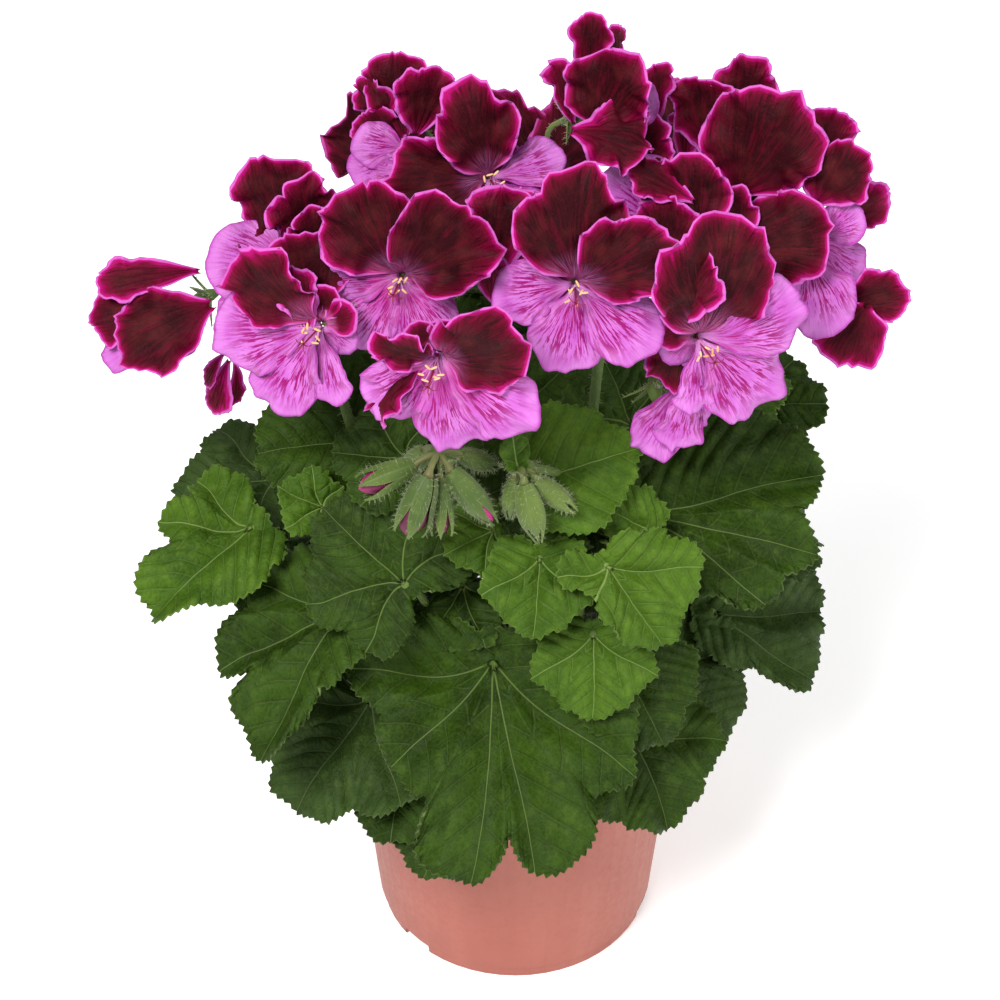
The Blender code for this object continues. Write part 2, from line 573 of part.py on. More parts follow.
def settle(ob, cutter):
    """Take away whatever comes within the clearance of the bodies already in place."""
    g = GAP*MM
    lo, hi = bounds(ob)
    for other, mk, a, b in made:
        if np.any(lo-g > b) or np.any(hi+g < a):
            continue
        q = bpy.data.objects.new('cut', mk())
        bpy.context.scene.collection.objects.link(q)
        boolean(ob, q, 'DIFFERENCE')
        me = q.data
        bpy.data.objects.remove(q, do_unlink=True)
        bpy.data.meshes.remove(me)
    keep_largest(ob)
    register(ob, cutter)

def grown_shoots():
    ps = [ring_solid([np.array([((9+GAP)*math.cos(a), (9+GAP)*math.sin(a), z0) for a in np.arange(10)*math.pi/5]) for z0 in (76.0, 88.4)], V(0, 0, 75.0))]
    for n in SHOOT_NAMES:
        c = shoot_curve(n)
        ps.append(tube(np.vstack([c, c[-1:]+unit(c[-1]-c[-2])*GAP]), np.r_[np.linspace(SHOOT_R[0], SHOOT_R[1], len(c)), SHOOT_R[1]]+GAP, 7))
    o = blob(ps, 'tmp2', 'stem_green')
    me = o.data.copy()
    bpy.data.objects.remove(o, do_unlink=True)
    return me
shoots_cut = grown_shoots()
q = bpy.data.objects.new('tmp', shoots_cut.copy())
bpy.context.scene.collection.objects.link(q)
boolean(soil, q, 'DIFFERENCE')
bpy.data.objects.remove(q, do_unlink=True)
keep_largest(soil)
made.append((shoots, lambda: shoots_cut.copy(), *bounds(shoots)))

def pot_cut():
    pr = [(POT_BASE_R-2, -1), (POT_BASE_R+GAP, -.5), (POT_RIM_R+GAP, POT_H+GAP), (POT_RIM_R-POT_WALL-.4-GAP, POT_H+GAP), (POT_RIM_R-POT_WALL-1.2-GAP, SOIL_TOP+1), (30, SOIL_TOP+2.4), (10, SOIL_TOP+2.8)]
    return mesh_of(*lathe(pr, 56))
made.append((pot, pot_cut, *bounds(pot)))

# ---- flower stalks, each ending in a knot
def stalk_solid(n, grow=0.0):
    end = V(*SHOOTS[n][-1])
    way = unit(V(*STALKS[n][0])-end)
    s = end+way*.9
    path = spline([s]+[V(*p) for p in STALKS[n]], 6)
    up = unit(path[-1]-path[-2])
    path = np.vstack([path, path[-1]+up*2.0, path[-1]+up*4.2])
    r = np.array([2.1]*5+[2.2, UMBEL_R+.4, UMBEL_R*.7])
    return tube(path, r+grow, 7)

def knot(n):
    path = spline([V(*SHOOTS[n][-1])]+[V(*p) for p in STALKS[n]], 6)
    return path[-1]+unit(path[-1]-path[-2])*2.2

for n in STALKS:
    ob = body('flower_stalk_' + n.lower(), mesh_of(*stalk_solid(n)), 'stem_green')
    settle(ob, lambda n=n: mesh_of(*stalk_solid(n, GAP)))

# ---- buds
def bud_solid(c, grow=0.0):
    k = V(*c['knot'])
    s0 = V(*SHOOTS[c['on']][-1])
    via = V(*c['via'])
    side = unit(V(via[0]-s0[0], via[1]-s0[1], 0))
    start = s0+side*(SHOOT_R[1]+2.3)-V(0, 0, 4)
    ps = [tube(spline([start, via, k+V(0, 0, 1)], 7), np.array([1.7]*6+[2.6])+grow, 6)]
    for az, el, ln in c['buds']:
        d = facing(az, el)
        fat = c['fat']
        bend = facing(az, min(el+45, 30))
        p = [k, k+bend*5+V(0, 0, .5), k+bend*7+d*3, k+bend*7+d*(3+ln*.32), k+bend*7+d*(3+ln*.66), k+bend*7+d*(2+ln)]
        ps.append(tube(p, np.array([1.2, 1.3, 2.6, fat, fat*.85, .7])+grow, 7))
    return ps
for c in BUDS:
    ob = blob(bud_solid(c), c['name'], 'bud_green')
    def cutter(c=c):
        o = blob(bud_solid(c, GAP), 'tmp3', 'bud_green')
        me = o.data.copy()
        bpy.data.objects.remove(o, do_unlink=True)
        return me
    settle(ob, cutter)

# ---- leaves and flowers
def leaf_start(lf, r=STALK_R):
    c = spline(SHOOTS[lf['on']], 60)
    i = int(np.argmin(np.abs(c[:, 2]-lf['h'])))
    rad = SHOOT_R[0]+(SHOOT_R[1]-SHOOT_R[0])*i/59
    b = V(*lf['base'])
    d = unit(V(b[0]-c[i][0], b[1]-c[i][1], 0))
    return c[i]+d*(rad+.15), d

def flower_start(fl):
    k = knot(fl['on'])
    d = unit(V(*fl['pos'])-facing(fl['az'], fl['el'])*11-k+V(0, 0, 6))
    return k+d*(UMBEL_R+.6)

def add_leaf(lf):
    s, _ = leaf_start(lf)
    ob = body('leaf_' + lf['name'], mesh_of(*leaf_solid(lf, s, LEAF_T, STALK_R)), 'leaf_green')
    settle(ob, lambda: mesh_of(*leaf_solid(lf, s, LEAF_T, STALK_R, GAP)))

def add_flower(fl):
    s = flower_start(fl)
    ob = body('flower_' + fl['name'], mesh_of(*flower_solid(fl, s, PETAL_T, PEDICEL_R)), 'petal')
    settle(ob, lambda: mesh_of(*flower_solid(fl, s, PETAL_T, PEDICEL_R, GAP)))

for lf in LEAVES:
    add_leaf(lf)
for fl in FLOWERS:
    add_flower(fl)

for ob in list(bpy.data.objects):
    if ob.name.startswith(('tmp', 'cut')):
        bpy.data.objects.remove(ob, do_unlink=True)
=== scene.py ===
"""Potted regal geranium: the finished look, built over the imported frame."""
import math
import numpy as np
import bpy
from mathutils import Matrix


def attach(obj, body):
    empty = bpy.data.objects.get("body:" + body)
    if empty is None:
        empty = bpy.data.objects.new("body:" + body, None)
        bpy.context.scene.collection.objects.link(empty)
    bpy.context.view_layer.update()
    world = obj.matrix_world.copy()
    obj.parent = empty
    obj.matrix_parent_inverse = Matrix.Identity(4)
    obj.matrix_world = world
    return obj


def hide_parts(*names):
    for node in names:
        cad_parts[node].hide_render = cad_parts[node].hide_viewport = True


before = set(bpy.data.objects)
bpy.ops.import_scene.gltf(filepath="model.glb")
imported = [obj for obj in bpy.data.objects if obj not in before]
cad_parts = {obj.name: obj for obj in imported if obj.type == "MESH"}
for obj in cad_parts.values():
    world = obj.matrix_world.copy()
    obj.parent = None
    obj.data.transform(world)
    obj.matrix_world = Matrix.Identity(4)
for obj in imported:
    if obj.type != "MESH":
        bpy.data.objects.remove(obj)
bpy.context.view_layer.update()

# ---------------------------------------------------------------- vectors
def V(*a):
    return np.array(a, float)

def unit(v):
    v = np.asarray(v, float)
    return v / max(np.linalg.norm(v), 1e-9)

def rot_about(v, axis, deg):
    a = math.radians(deg)
    k = unit(axis)
    return v * math.cos(a) + np.cross(k, v) * math.sin(a) + k * np.dot(k, v) * (1 - math.cos(a))

def facing(az, el):
    """Unit vector of azimuth az (0 is the front, -Y; positive towards +X) and elevation el."""
    a, e = math.radians(az), math.radians(el)
    return V(math.sin(a) * math.cos(e), -math.cos(a) * math.cos(e), math.sin(e))

def bezier(p0, p1, p2, p3, n):
    t = np.linspace(0, 1, n)[:, None]
    return (1-t)**3*p0 + 3*(1-t)**2*t*p1 + 3*(1-t)*t*t*p2 + t**3*p3

def spline(points, n):
    """Points evenly spread along a smooth curve through the given points."""
    p = np.array(points, float)
    ext = np.vstack([2*p[0]-p[1], p, 2*p[-1]-p[-2]])
    out = []
    for i in range(len(p)-1):
        a, b, c, d = ext[i:i+4]
        t = np.linspace(0, 1, 24, endpoint=False)[:, None]
        out.append(0.5*((2*b)+(c-a)*t+(2*a-5*b+4*c-d)*t*t+(3*b-a-3*c+d)*t**3))
    out = np.vstack(out+[p[-1:]])
    s = np.r_[0, np.cumsum(np.linalg.norm(np.diff(out, axis=0), axis=1))]
    q = np.linspace(0, s[-1], n)
    return np.c_[[np.interp(q, s, out[:, k]) for k in range(3)]].T

def tube_rings(path, radii, sides, start_dir=None):
    """Rings of points round a path, turned as little as possible from one to the next."""
    path = np.asarray(path, float)
    tang = np.gradient(path, axis=0)
    tang /= np.linalg.norm(tang, axis=1)[:, None]
    ref = unit(np.cross(tang[0], V(0, 0, 1))) if start_dir is None else unit(start_dir - tang[0]*np.dot(start_dir, tang[0]))
    if np.linalg.norm(np.cross(tang[0], V(0, 0, 1))) < 1e-3 and start_dir is None:
        ref = V(1, 0, 0)
    rings = []
    for p, t, r in zip(path, tang, radii):
        ref = unit(ref - t*np.dot(ref, t))
        bi = np.cross(t, ref)
        a = np.arange(sides)*2*math.pi/sides
        rings.append(p + r*(np.cos(a)[:, None]*ref + np.sin(a)[:, None]*bi))
    return rings

# ---------------------------------------------------------------- leaf
# outline: (angle from the midrib in degrees, radius as a share of the leaf's length)
OUT_PLAIN = [(-150, .14), (-128, .50), (-108, .66), (-86, .60), (-60, .84), (-32, .78), (0, 1.0),
             (32, .78), (60, .84), (86, .60), (108, .66), (128, .50), (150, .14)]
OUT_ROUND = [(-152, .16), (-130, .56), (-105, .74), (-84, .70), (-56, .90), (-30, .84), (0, 1.0),
             (30, .84), (56, .90), (84, .70), (105, .74), (130, .56), (152, .16)]

def outline(ctrl, phi):
    """Smooth radius at each angle phi (degrees): round lobes, sharper notches between them."""
    phi = (np.asarray(phi, float) + 180) % 360 - 180
    a = np.array([c[0] for c in ctrl], float)
    r = np.array([c[1] for c in ctrl], float)
    a = np.r_[a[-1]-360, a, a[0]+360]
    r = np.r_[r[-1], r, r[0]]
    i = np.clip(np.searchsorted(a, phi, side='right')-1, 0, len(a)-2)
    t = (phi-a[i])/(a[i+1]-a[i])
    r0, r1 = r[i], r[i+1]
    rise = np.sin(t*math.pi/2)**0.8
    fall = np.cos(t*math.pi/2)**0.8
    up = r1 >= r0
    out = np.where(up, r0+(r1-r0)*rise, r1+(r0-r1)*fall)
    # the sinus behind the stalk stays a narrow collar
    back = (phi > a[-2]) | (phi < a[1])
    return np.where(back, r[1], out)

def leaf_frame(leaf):
    base, tip = V(*leaf['base']), V(*leaf['tip'])
    mid = unit(tip-base)
    hint = facing(leaf.get('az', 0), leaf.get('el', 52))
    nor = unit(hint - mid*np.dot(hint, mid))
    nor = rot_about(nor, mid, leaf.get('roll', 0))
    side = np.cross(mid, nor)
    return base, mid, side, nor, np.linalg.norm(tip-base)

def leaf_surface(leaf, rho, phi):
    """Points of the blade at share rho of the way from the stalk to the margin, at angle phi (degrees)."""
    base, mid, side, nor, size = leaf_frame(leaf)
    ph = np.radians(phi)
    R = outline(leaf.get('out', OUT_PLAIN), phi)*size
    r = rho*R
    x, y = r*np.cos(ph), r*np.sin(ph)
    q = r/size
    fold = leaf.get('fold', .12)
    cup = leaf.get('cup', -.10)
    pleat = leaf.get('pleat', .035)
    wave = leaf.get('wave', .03)
    seed = leaf.get('seed', 1.0)
    z = fold*np.abs(y)**1.15/size**.15 + cup*r*q
    z = z - leaf.get('nod', .10)*size*np.clip(x/size, 0, 2)**2
    z = z + pleat*size*q*np.cos(np.radians(np.asarray(phi, float))*6.3+.4)*np.clip(q*1.6, 0, 1)
    z = z + wave*size*q**2*np.sin(ph*3.0+seed*2.1) + .6*wave*size*q**3*np.sin(ph*7.0+seed*5.3)
    return base + x[..., None]*mid + y[..., None]*side + z[..., None]*nor

def stalk_path(leaf, start, n):
    """The petiole: from the stem out to the underside of the blade."""
    base, mid, side, nor, size = leaf_frame(leaf)
    come = unit(nor*0.9 + mid*leaf.get('come', .45))
    end = base - come*1.3
    s = V(*start)
    reach = np.linalg.norm(end-s)
    out = unit(V(end[0]-s[0], end[1]-s[1], 0) + V(0, 0, leaf.get('rise', .35))*reach)
    via = V(*leaf.get('via', (0, 0, 0)))
    return bezier(s, s + out*reach*.42 + via, end - come*reach*.34 + via, end, n)

# ---------------------------------------------------------------- flower
# petals: (angle from the top, length, half width, how far it stands forward in degrees)
PETALS = ((-36, 1.0, .50, 30), (36, 1.0, .50, 30), (108, .86, .34, 18), (180, .92, .36, 8), (-108, .86, .34, 18))

def flower_frame(fl):
    n = facing(fl['az'], fl['el'])
    u = V(0, 0, 1) - n*n[2]
    if np.linalg.norm(u) < 1e-3:
        u = V(0, 1, 0)
    u = rot_about(unit(u), n, -fl.get('roll', 0))
    return V(*fl['pos']), n, u, np.cross(u, n)

def wrap(d):
    return (d+180) % 360 - 180

def corolla(fl, rho, phi):
    """The fused face of the flower: rho from the throat to the petal tips, phi degrees clockwise from the top."""
    pos, n, u, rr = flower_frame(fl)
    size = fl['size']
    phi = np.asarray(phi, float)
    shut = fl.get('shut', 0)
    wsum, L, E = 0, 0, 0
    for k, (a, le, hw, st) in enumerate(PETALS):
        d = np.abs(wrap(phi-a))
        half = 38.0 if k != 3 else 34.0
        w = np.exp(-(d/30.0)**2)
        wsum, L, E = wsum+w, L+w*le*(1-.30*np.clip(d/half, 0, 1.15)**2.4), E+w*st
    L, E = L/wsum*size*fl.get('cad', .86), np.radians(E/wsum+shut+fl.get('lift', 0))
    s = rho*L
    # the claw stands up out of the throat, then the petal opens
    claw = np.radians(fl.get('claw', 62))*np.exp(-(s/size/.16)**2)
    curl = math.radians(fl.get('curl', -16))
    ang = E + (claw-E*0)*np.exp(-(s/size/.2)**2)*.9 + curl*(s/size)**2
    step = np.cos(ang*.6+E*.4), np.sin(ang*.6+E*.4)
    rad, up = s*step[0]+1.2, s*step[1]
    ph = np.radians(phi)
    ru = fl.get('ruffle', .04)*size*rho**2*np.sin(np.radians(phi)*5+fl.get('seed', 1)*1.7)
    return pos + rad[..., None]*(np.cos(ph)[..., None]*u + np.sin(ph)[..., None]*rr) + (up+ru)[..., None]*n

def pedicel_path(fl, start, n):
    pos, nn, u, rr = flower_frame(fl)
    end = pos - nn*fl.get('neck', 11.0)
    s = V(*start)
    reach = np.linalg.norm(end-s)
    via = V(*fl.get('via', (0, 0, 0)))
    out = unit(V(*fl['out'])) if 'out' in fl else unit(end-s+V(0, 0, .5)*reach)
    return bezier(s, s+out*reach*.4+via, end-nn*reach*.35+via, end, n)

# ---------------------------------------------------------------- closed ring solids
def ring_solid(rings, start_point, end_flat=True):
    """Vertices and faces of a closed body: a point, then rings, the last one capped flat.
    A ring may have fewer points than the one before it."""
    verts, faces, idx = [start_point], [], []
    for r in rings:
        idx.append(list(range(len(verts), len(verts)+len(r))))
        verts.extend(r)
    first = idx[0]
    n = len(first)
    for j in range(n):
        faces.append((0, first[j], first[(j+1) % n]))
    for A, B in zip(idx, idx[1:]):
        n, m = len(A), len(B)
        if n == m:
            for j in range(n):
                k = (j+1) % n
                faces.append((A[j], B[j], B[k]))
                faces.append((A[j], B[k], A[k]))
        else:
            at = [j*m//n for j in range(n)]
            for j in range(n):
                k = (j+1) % n
                faces.append((A[j], B[at[j]], A[k]))
                if at[k] != at[j]:
                    faces.append((A[k], B[at[j]], B[at[k]]))
    faces.append(tuple(reversed(idx[-1])))
    return np.array(verts, float), faces

def sheet_normals(fn, rho, phi):
    e = 1e-3
    a = fn(np.maximum(rho, .02)+e, phi)-fn(np.maximum(rho, .02)-e, phi)
    b = fn(np.maximum(rho, .02), phi+.2)-fn(np.maximum(rho, .02), phi-.2)
    c = np.cross(a, b)
    return c/np.maximum(np.linalg.norm(c, axis=-1)[..., None], 1e-12)

def leaf_angles(leaf):
    ctrl = [c[0] for c in leaf.get('out', OUT_PLAIN)]
    mids = [(a+b)/2 for a, b in zip(ctrl, ctrl[1:]) if b-a > 21]
    return np.array(sorted(ctrl+mids+[180.0]), float)

def leaf_solid(leaf, start, thick=1.0, stalk_r=1.3, grow=0.0):
    phi = leaf_angles(leaf)
    base, mid, side, nor, size = leaf_frame(leaf)
    t = thick/2+grow
    f = lambda r, p: leaf_surface(leaf, r, p)
    top, low = [], []
    for r in (.5, 1.0):
        rho = np.full(len(phi), r)
        p = f(rho, phi)
        nn = sheet_normals(f, rho, phi)
        nn = np.where((nn@nor)[:, None] < 0, -nn, nn)
        away = p-base
        p = p+away/np.linalg.norm(away, axis=1)[:, None]*grow*1.3
        top.append(p+nn*t)
        low.append(p-nn*t)
    path = stalk_path(leaf, start, 6)[::-1]
    rr = stalk_r+grow
    tr = tube_rings(path, [rr*1.15]+[rr]*(len(path)-1), 5, mid)
    # the tube's rings turn the same way round as the blade's angles
    turn = np.cross(tr[1][1]-path[1], tr[1][2]-path[1])@(path[1]-path[0])
    want = 1
    rings = [top[0], top[1], low[1], low[0]]
    c0 = np.mean(top[0], axis=0)
    s = np.cross(top[0][3]-base, top[0][4]-base)@(-nor)
    if s*turn < 0:
        tr = [x[::-1] for x in tr]
    # start the small ring where the blade's first angle lies
    d = unit(f(np.array([.5]), phi[:1])[0]-base)
    k = int(np.argmax((tr[1]-path[1])@d))
    tr = [np.roll(x, -k, axis=0) for x in tr]
    return ring_solid(rings+tr, base+nor*t)

def flower_solid(fl, start, thick=1.0, stalk_r=.9, grow=0.0, sides=20):
    phi = np.arange(sides)*360.0/sides
    pos, n, u, rr_ = flower_frame(fl)
    t = thick/2+grow
    f = lambda r, p: corolla(fl, r, p)
    top, low = [], []
    for r in (.5, 1.0+grow/fl['size']*1.3):
        rho = np.full(sides, r)
        p = f(rho, phi)
        nn = sheet_normals(f, rho, phi)
        nn = np.where((nn@n)[:, None] < 0, -nn, nn) if fl.get('shut', 0) < 30 else np.where(((nn*(p-pos-n*np.dot(p.mean(0)-pos, n))).sum(1) > 0)[:, None], -nn, nn)
        top.append(p+nn*t)
        low.append(p-nn*t)
    path = pedicel_path(fl, start, 5)[::-1]
    calyx = 3.0+grow
    ring = lambda c, r, m: c+r*np.array([math.cos(2*math.pi*k/m)*u+math.sin(2*math.pi*k/m)*rr_ for k in range(m)])
    rings = [top[0], top[1], low[1], low[0], ring(pos-n*3.5, calyx, 5), ring(pos-n*(fl.get('neck', 11.0)-1), calyx*.6, 5)]
    tr = tube_rings(path, [stalk_r+grow]*len(path), 5, u)
    if np.cross(tr[1][0]-path[1], tr[1][1]-path[1])@(path[1]-path[0])*(np.cross(rings[-1][0]-pos, rings[-1][1]-pos)@(-n)) < 0:
        tr = [x[::-1] for x in tr]
    k = int(np.argmax((tr[1]-path[1])@u))
    tr = [np.roll(x, -k, axis=0) for x in tr]
    return ring_solid(rings+tr[1:], pos+n*.6)

def stem_path(points, n):
    return spline(points, n)

# ---------------------------------------------------------------- driving dimensions, millimetres
POT_RIM_R = 60.0        # outside radius of the rim
POT_BASE_R = 51.4       # outside radius at the foot
POT_H = 96.0            # height of the pot
POT_WALL = 1.3
FOOT_INSET = 0.7        # the foot is a little narrower than the wall above it
FOOT_H = 5.0
NOTCH_W, NOTCH_H = 13.0, 4.0
NOTCH_AZ = (-47, 73, 193)
DRAIN_R, DRAIN_RING = 3.0, 27.0
SOIL_TOP = 85.0
LEAF_T = 1.0            # blade thickness of the leaves
PETAL_T = 0.9
STALK_R = 1.3           # leaf stalks
PEDICEL_R = 0.9
GAP = 0.35              # clearance kept between neighbouring parts

# main shoots, from the crown at soil level: name -> points
SHOOTS = {
    'A': [(-4, -2, 80), (-22, -10, 118), (-40, -16, 160), (-50, -18, 196)],
    'B': [(-2, -5, 80), (-10, -20, 122), (-18, -30, 168), (-20, -30, 206)],
    'C': [(4, -4, 80), (14, -18, 122), (20, -28, 168), (23, -28, 210)],
    'D': [(5, 1, 80), (26, 2, 118), (44, 0, 160), (54, -2, 200)],
    'E': [(0, 5, 80), (2, 24, 120), (6, 38, 164), (6, 46, 206)],
}
SHOOT_R = (4.4, 3.2)
SHOOT_NAMES = 'ABCDE'

# flower stalks: name -> (shoot, points after the shoot's end)
STALKS = {
    'A': [(-55, -19, 240), (-66, -20, 286)],
    'B': [(-22, -27, 250), (-26, -24, 292)],
    'C': [(24, -32, 250), (28, -22, 294)],
    'D': [(60, -6, 236), (68, -12, 274)],
    'E': [(7, 46, 222), (9, 40, 252)],
}
UMBEL_R = 2.6

# outlines of the leaves that show whole: (angle clockwise from the midrib, share of the length)
OUT_FRONT = [(-146, .16), (-118, .36), (-92, .46), (-62, .74), (-54, .81), (-38, .78), (-26, .96), (-15, .99), (-9, .80), (0, .99),
             (16, .97), (22, .68), (42, .67), (62, .54), (84, .66), (108, .46), (130, .28), (150, .14)]
OUT_LEFT = [(-120, .20), (-68, .30), (-36, .42), (-17, .52), (-10, .78), (0, 1.0),
            (20, .88), (27, .66), (37, .85), (58, .57), (74, .58), (98, .46), (124, .38), (150, .20)]
OUT_WING = [(-140, .16), (-110, .30), (-70, .42), (-34, .62), (-18, .72), (0, 1.0), (16, .98), (32, .62),
            (48, .70), (70, .50), (88, .62), (112, .50), (140, .16)]
OUT_FAN = [(-150, .18), (-112, .34), (-76, .56), (-48, .93), (-29, 1.04), (-14, .83), (0, 1.0),
           (11, .84), (23, .86), (34, .62), (44, .54), (70, .34), (100, .30), (140, .20)]
OUT_TURNED = [(-140, .20), (-104, .46), (-80, .50), (-50, .92), (-34, .98), (-20, .90), (0, 1.0), (18, .52), (34, .46), (66, .34), (104, .26), (140, .16)]
OUT_YOUNG = [(-140, .20), (-112, .62), (-84, .60), (-52, .90), (-28, .84), (0, 1.0), (28, .84), (52, .90), (84, .60), (112, .62), (140, .20)]

def L(name, base, tip, az, el, on, h, **k):
    k.update(name=name, base=base, tip=tip, az=az, el=el, on=on, h=h)
    return k

LEAVES = [
    L('front', (-8, -62, 174), (-10, -114, 121), 2, 46, 'B', 120, out=OUT_FRONT, fold=.05, cup=-.06, nod=.04, seed=1),
    L('left_lower', (-58, -54, 193), (-88, -92, 162), -30, 48, 'A', 140, out=OUT_LEFT, fold=.10, seed=2),
    L('left_wing', (-89, -34, 209), (-121, -62, 200), -20, 55, 'A', 158, out=OUT_WING, fold=.10, seed=3),
    L('left_inner', (-37, -64, 211), (-64, -56, 234), -4, 30, 'B', 165, out=OUT_ROUND, fold=.10, cup=-.2, seed=4),
    L('left_under', (-50, -44, 138), (-79, -74, 118), -25, 50, 'A', 108, out=OUT_ROUND, seed=5),
    L('left_skirt', (-36, -50, 126), (-46, -80, 106), -10, 45, 'B', 104, out=OUT_PLAIN, seed=6),
    L('over_rim', (-22, -62, 110), (-31, -82, 88), -5, 42, 'B', 98, out=OUT_YOUNG, seed=7),
    L('right_fold', (26, -68, 192), (27, -92, 172), 0, 45, 'C', 150, out=OUT_YOUNG, seed=8),
    L('right_fold_low', (40, -50, 170), (55, -78, 146), 15, 45, 'C', 132, out=OUT_PLAIN, seed=9),
    L('young_bright', (29, -72, 232), (40, -94, 206), 12, 45, 'C', 190, out=OUT_ROUND, seed=10),
    L('right_fan', (42, -36, 217), (99, -52, 216), 12, 48, 'D', 172, out=OUT_FAN, fold=.04, nod=.02, seed=11),
    L('right_outer', (70, -8, 146), (108, -20, 122), 25, 48, 'D', 138, out=OUT_TURNED, fold=.02, seed=12),
    L('right_lower', (52, -26, 138), (78, -38, 116), 30, 50, 'D', 104, out=OUT_ROUND, seed=13),
    L('right_skirt', (39, -48, 128), (57, -70, 103), 15, 45, 'C', 102, out=OUT_ROUND, seed=14),
    L('upper_mid', (9, -54, 248), (37, -50, 262), 6, 38, 'C', 205, out=OUT_YOUNG, fold=.2, seed=15),
    L('left_upper', (-46, -18, 234), (-86, -28, 240), -10, 48, 'A', 185, out=OUT_ROUND, seed=16),
    L('left_upper_small', (-36, -42, 246), (-60, -44, 250), -5, 40, 'B', 200, out=OUT_YOUNG, seed=17),
    L('left_back', (-84, 12, 192), (-118, 2, 192), -10, 74, 'A', 150, out=OUT_PLAIN, seed=18),
    L('left_back_low', (-86, -2, 174), (-114, -16, 176), -20, 52, 'A', 130, out=OUT_YOUNG, seed=19),
    L('centre_small', (3, -72, 226), (9, -90, 208), 0, 48, 'B', 180, out=OUT_PLAIN, seed=20),
    L('centre_dark', (-18, -46, 194), (-31, -62, 180), -8, 45, 'B', 150, out=OUT_YOUNG, seed=21),
    L('right_back_top', (84, 34, 206), (108, 30, 212), 20, 60, 'D', 160, out=OUT_YOUNG, seed=23),
    L('back_left', (-48, 58, 176), (-84, 92, 160), -140, 50, 'E', 130, out=OUT_ROUND, seed=24),
    L('back_mid', (-4, 74, 190), (-8, 118, 168), 180, 50, 'E', 150, out=OUT_PLAIN, seed=25),
    L('back_right', (44, 56, 172), (78, 90, 152), 140, 50, 'E', 120, out=OUT_ROUND, seed=26),
    L('back_skirt_left', (-26, 56, 132), (-44, 90, 108), -155, 48, 'E', 104, out=OUT_PLAIN, seed=27),
    L('back_skirt_right', (22, 60, 130), (34, 94, 104), 160, 48, 'E', 98, out=OUT_ROUND, seed=28),
    L('right_side', (74, 22, 168), (112, 42, 150), 100, 52, 'D', 138, out=OUT_PLAIN, seed=29),
    L('left_side', (-72, 30, 150), (-104, 50, 128), -110, 50, 'A', 112, out=OUT_ROUND, seed=30),
]

def F(name, pos, az, el, roll, size, on, **k):
    k.update(name=name, pos=pos, az=az, el=el, roll=roll, size=size, on=on)
    return k

FLOWERS = [
    F('far_left', (-106, -18, 291), -78, -18, 0, 38, 'A', shut=34),
    F('left_top', (-70, -30, 318), -52, 12, 0, 36, 'A'),
    F('left_low', (-60, -58, 314), -24, 22, -10, 38, 'A'),
    F('centre_left', (-36, -44, 322), -6, 24, 14, 40, 'B'),
    F('top_left', (-9, -8, 333), 4, 34, -24, 38, 'B'),
    F('top_back_left', (-32, 8, 334), -72, 16, 0, 34, 'B', shut=12),
    F('centre', (17, -58, 330), 2, 24, 8, 39, 'C'),
    F('centre_low', (-24, -82, 322), -10, 4, 10, 40, 'B', via=(12, 2, -32)),
    F('top', (22, 2, 350), 60, 30, 0, 38, 'C', shut=22),
    F('top_right', (62, 12, 322), 150, 34, 0, 38, 'D'),
    F('far_right_top', (94, 0, 316), 74, 4, 0, 38, 'D'),
    F('far_right_low', (100, -16, 288), 96, -16, 0, 32, 'D', shut=30),
    F('right', (54, -64, 314), 18, 14, -14, 42, 'D'),
    F('inner_right', (40, -14, 326), 20, 44, 0, 30, 'C', shut=24),
    F('hanging_right', (44, -52, 276), 10, -40, 0, 26, 'C', shut=44),
    F('inner_mid', (-2, -32, 322), 0, 50, 0, 28, 'C', shut=40),
    F('left_bud', (-92, -10, 272), -60, -52, 0, 24, 'A', shut=62),
    F('back_mid', (8, 60, 276), 176, 20, 0, 38, 'E'),
    F('back_left', (-34, 50, 286), -142, 14, 0, 38, 'E'),
    F('back_right', (50, 54, 284), 138, 12, 0, 38, 'E'),
]

# hanging bud clusters: knot, the shoot they come from, and buds as (azimuth, elevation, length)
BUDS = [
    dict(name='front_buds', knot=(-24, -76, 288), on='B', via=(-22, -52, 262),
         buds=[(-75, -34, 25), (-40, -52, 26), (0, -62, 28), (35, -60, 25), (70, -40, 25), (150, -50, 20)], fat=4.2),
    dict(name='middle_buds', knot=(11, -68, 266), on='C', via=(18, -46, 240),
         buds=[(-50, -66, 22), (20, -60, 24), (75, -30, 22)], fat=4.0),
]

# ---------------------------------------------------------------- mesh building
import bpy
from mathutils import Vector


MM = 0.001

def smooth(a, b, x):
    t = np.clip((np.asarray(x, float)-a)/(b-a), 0, 1)
    return t*t*(3-2*t)

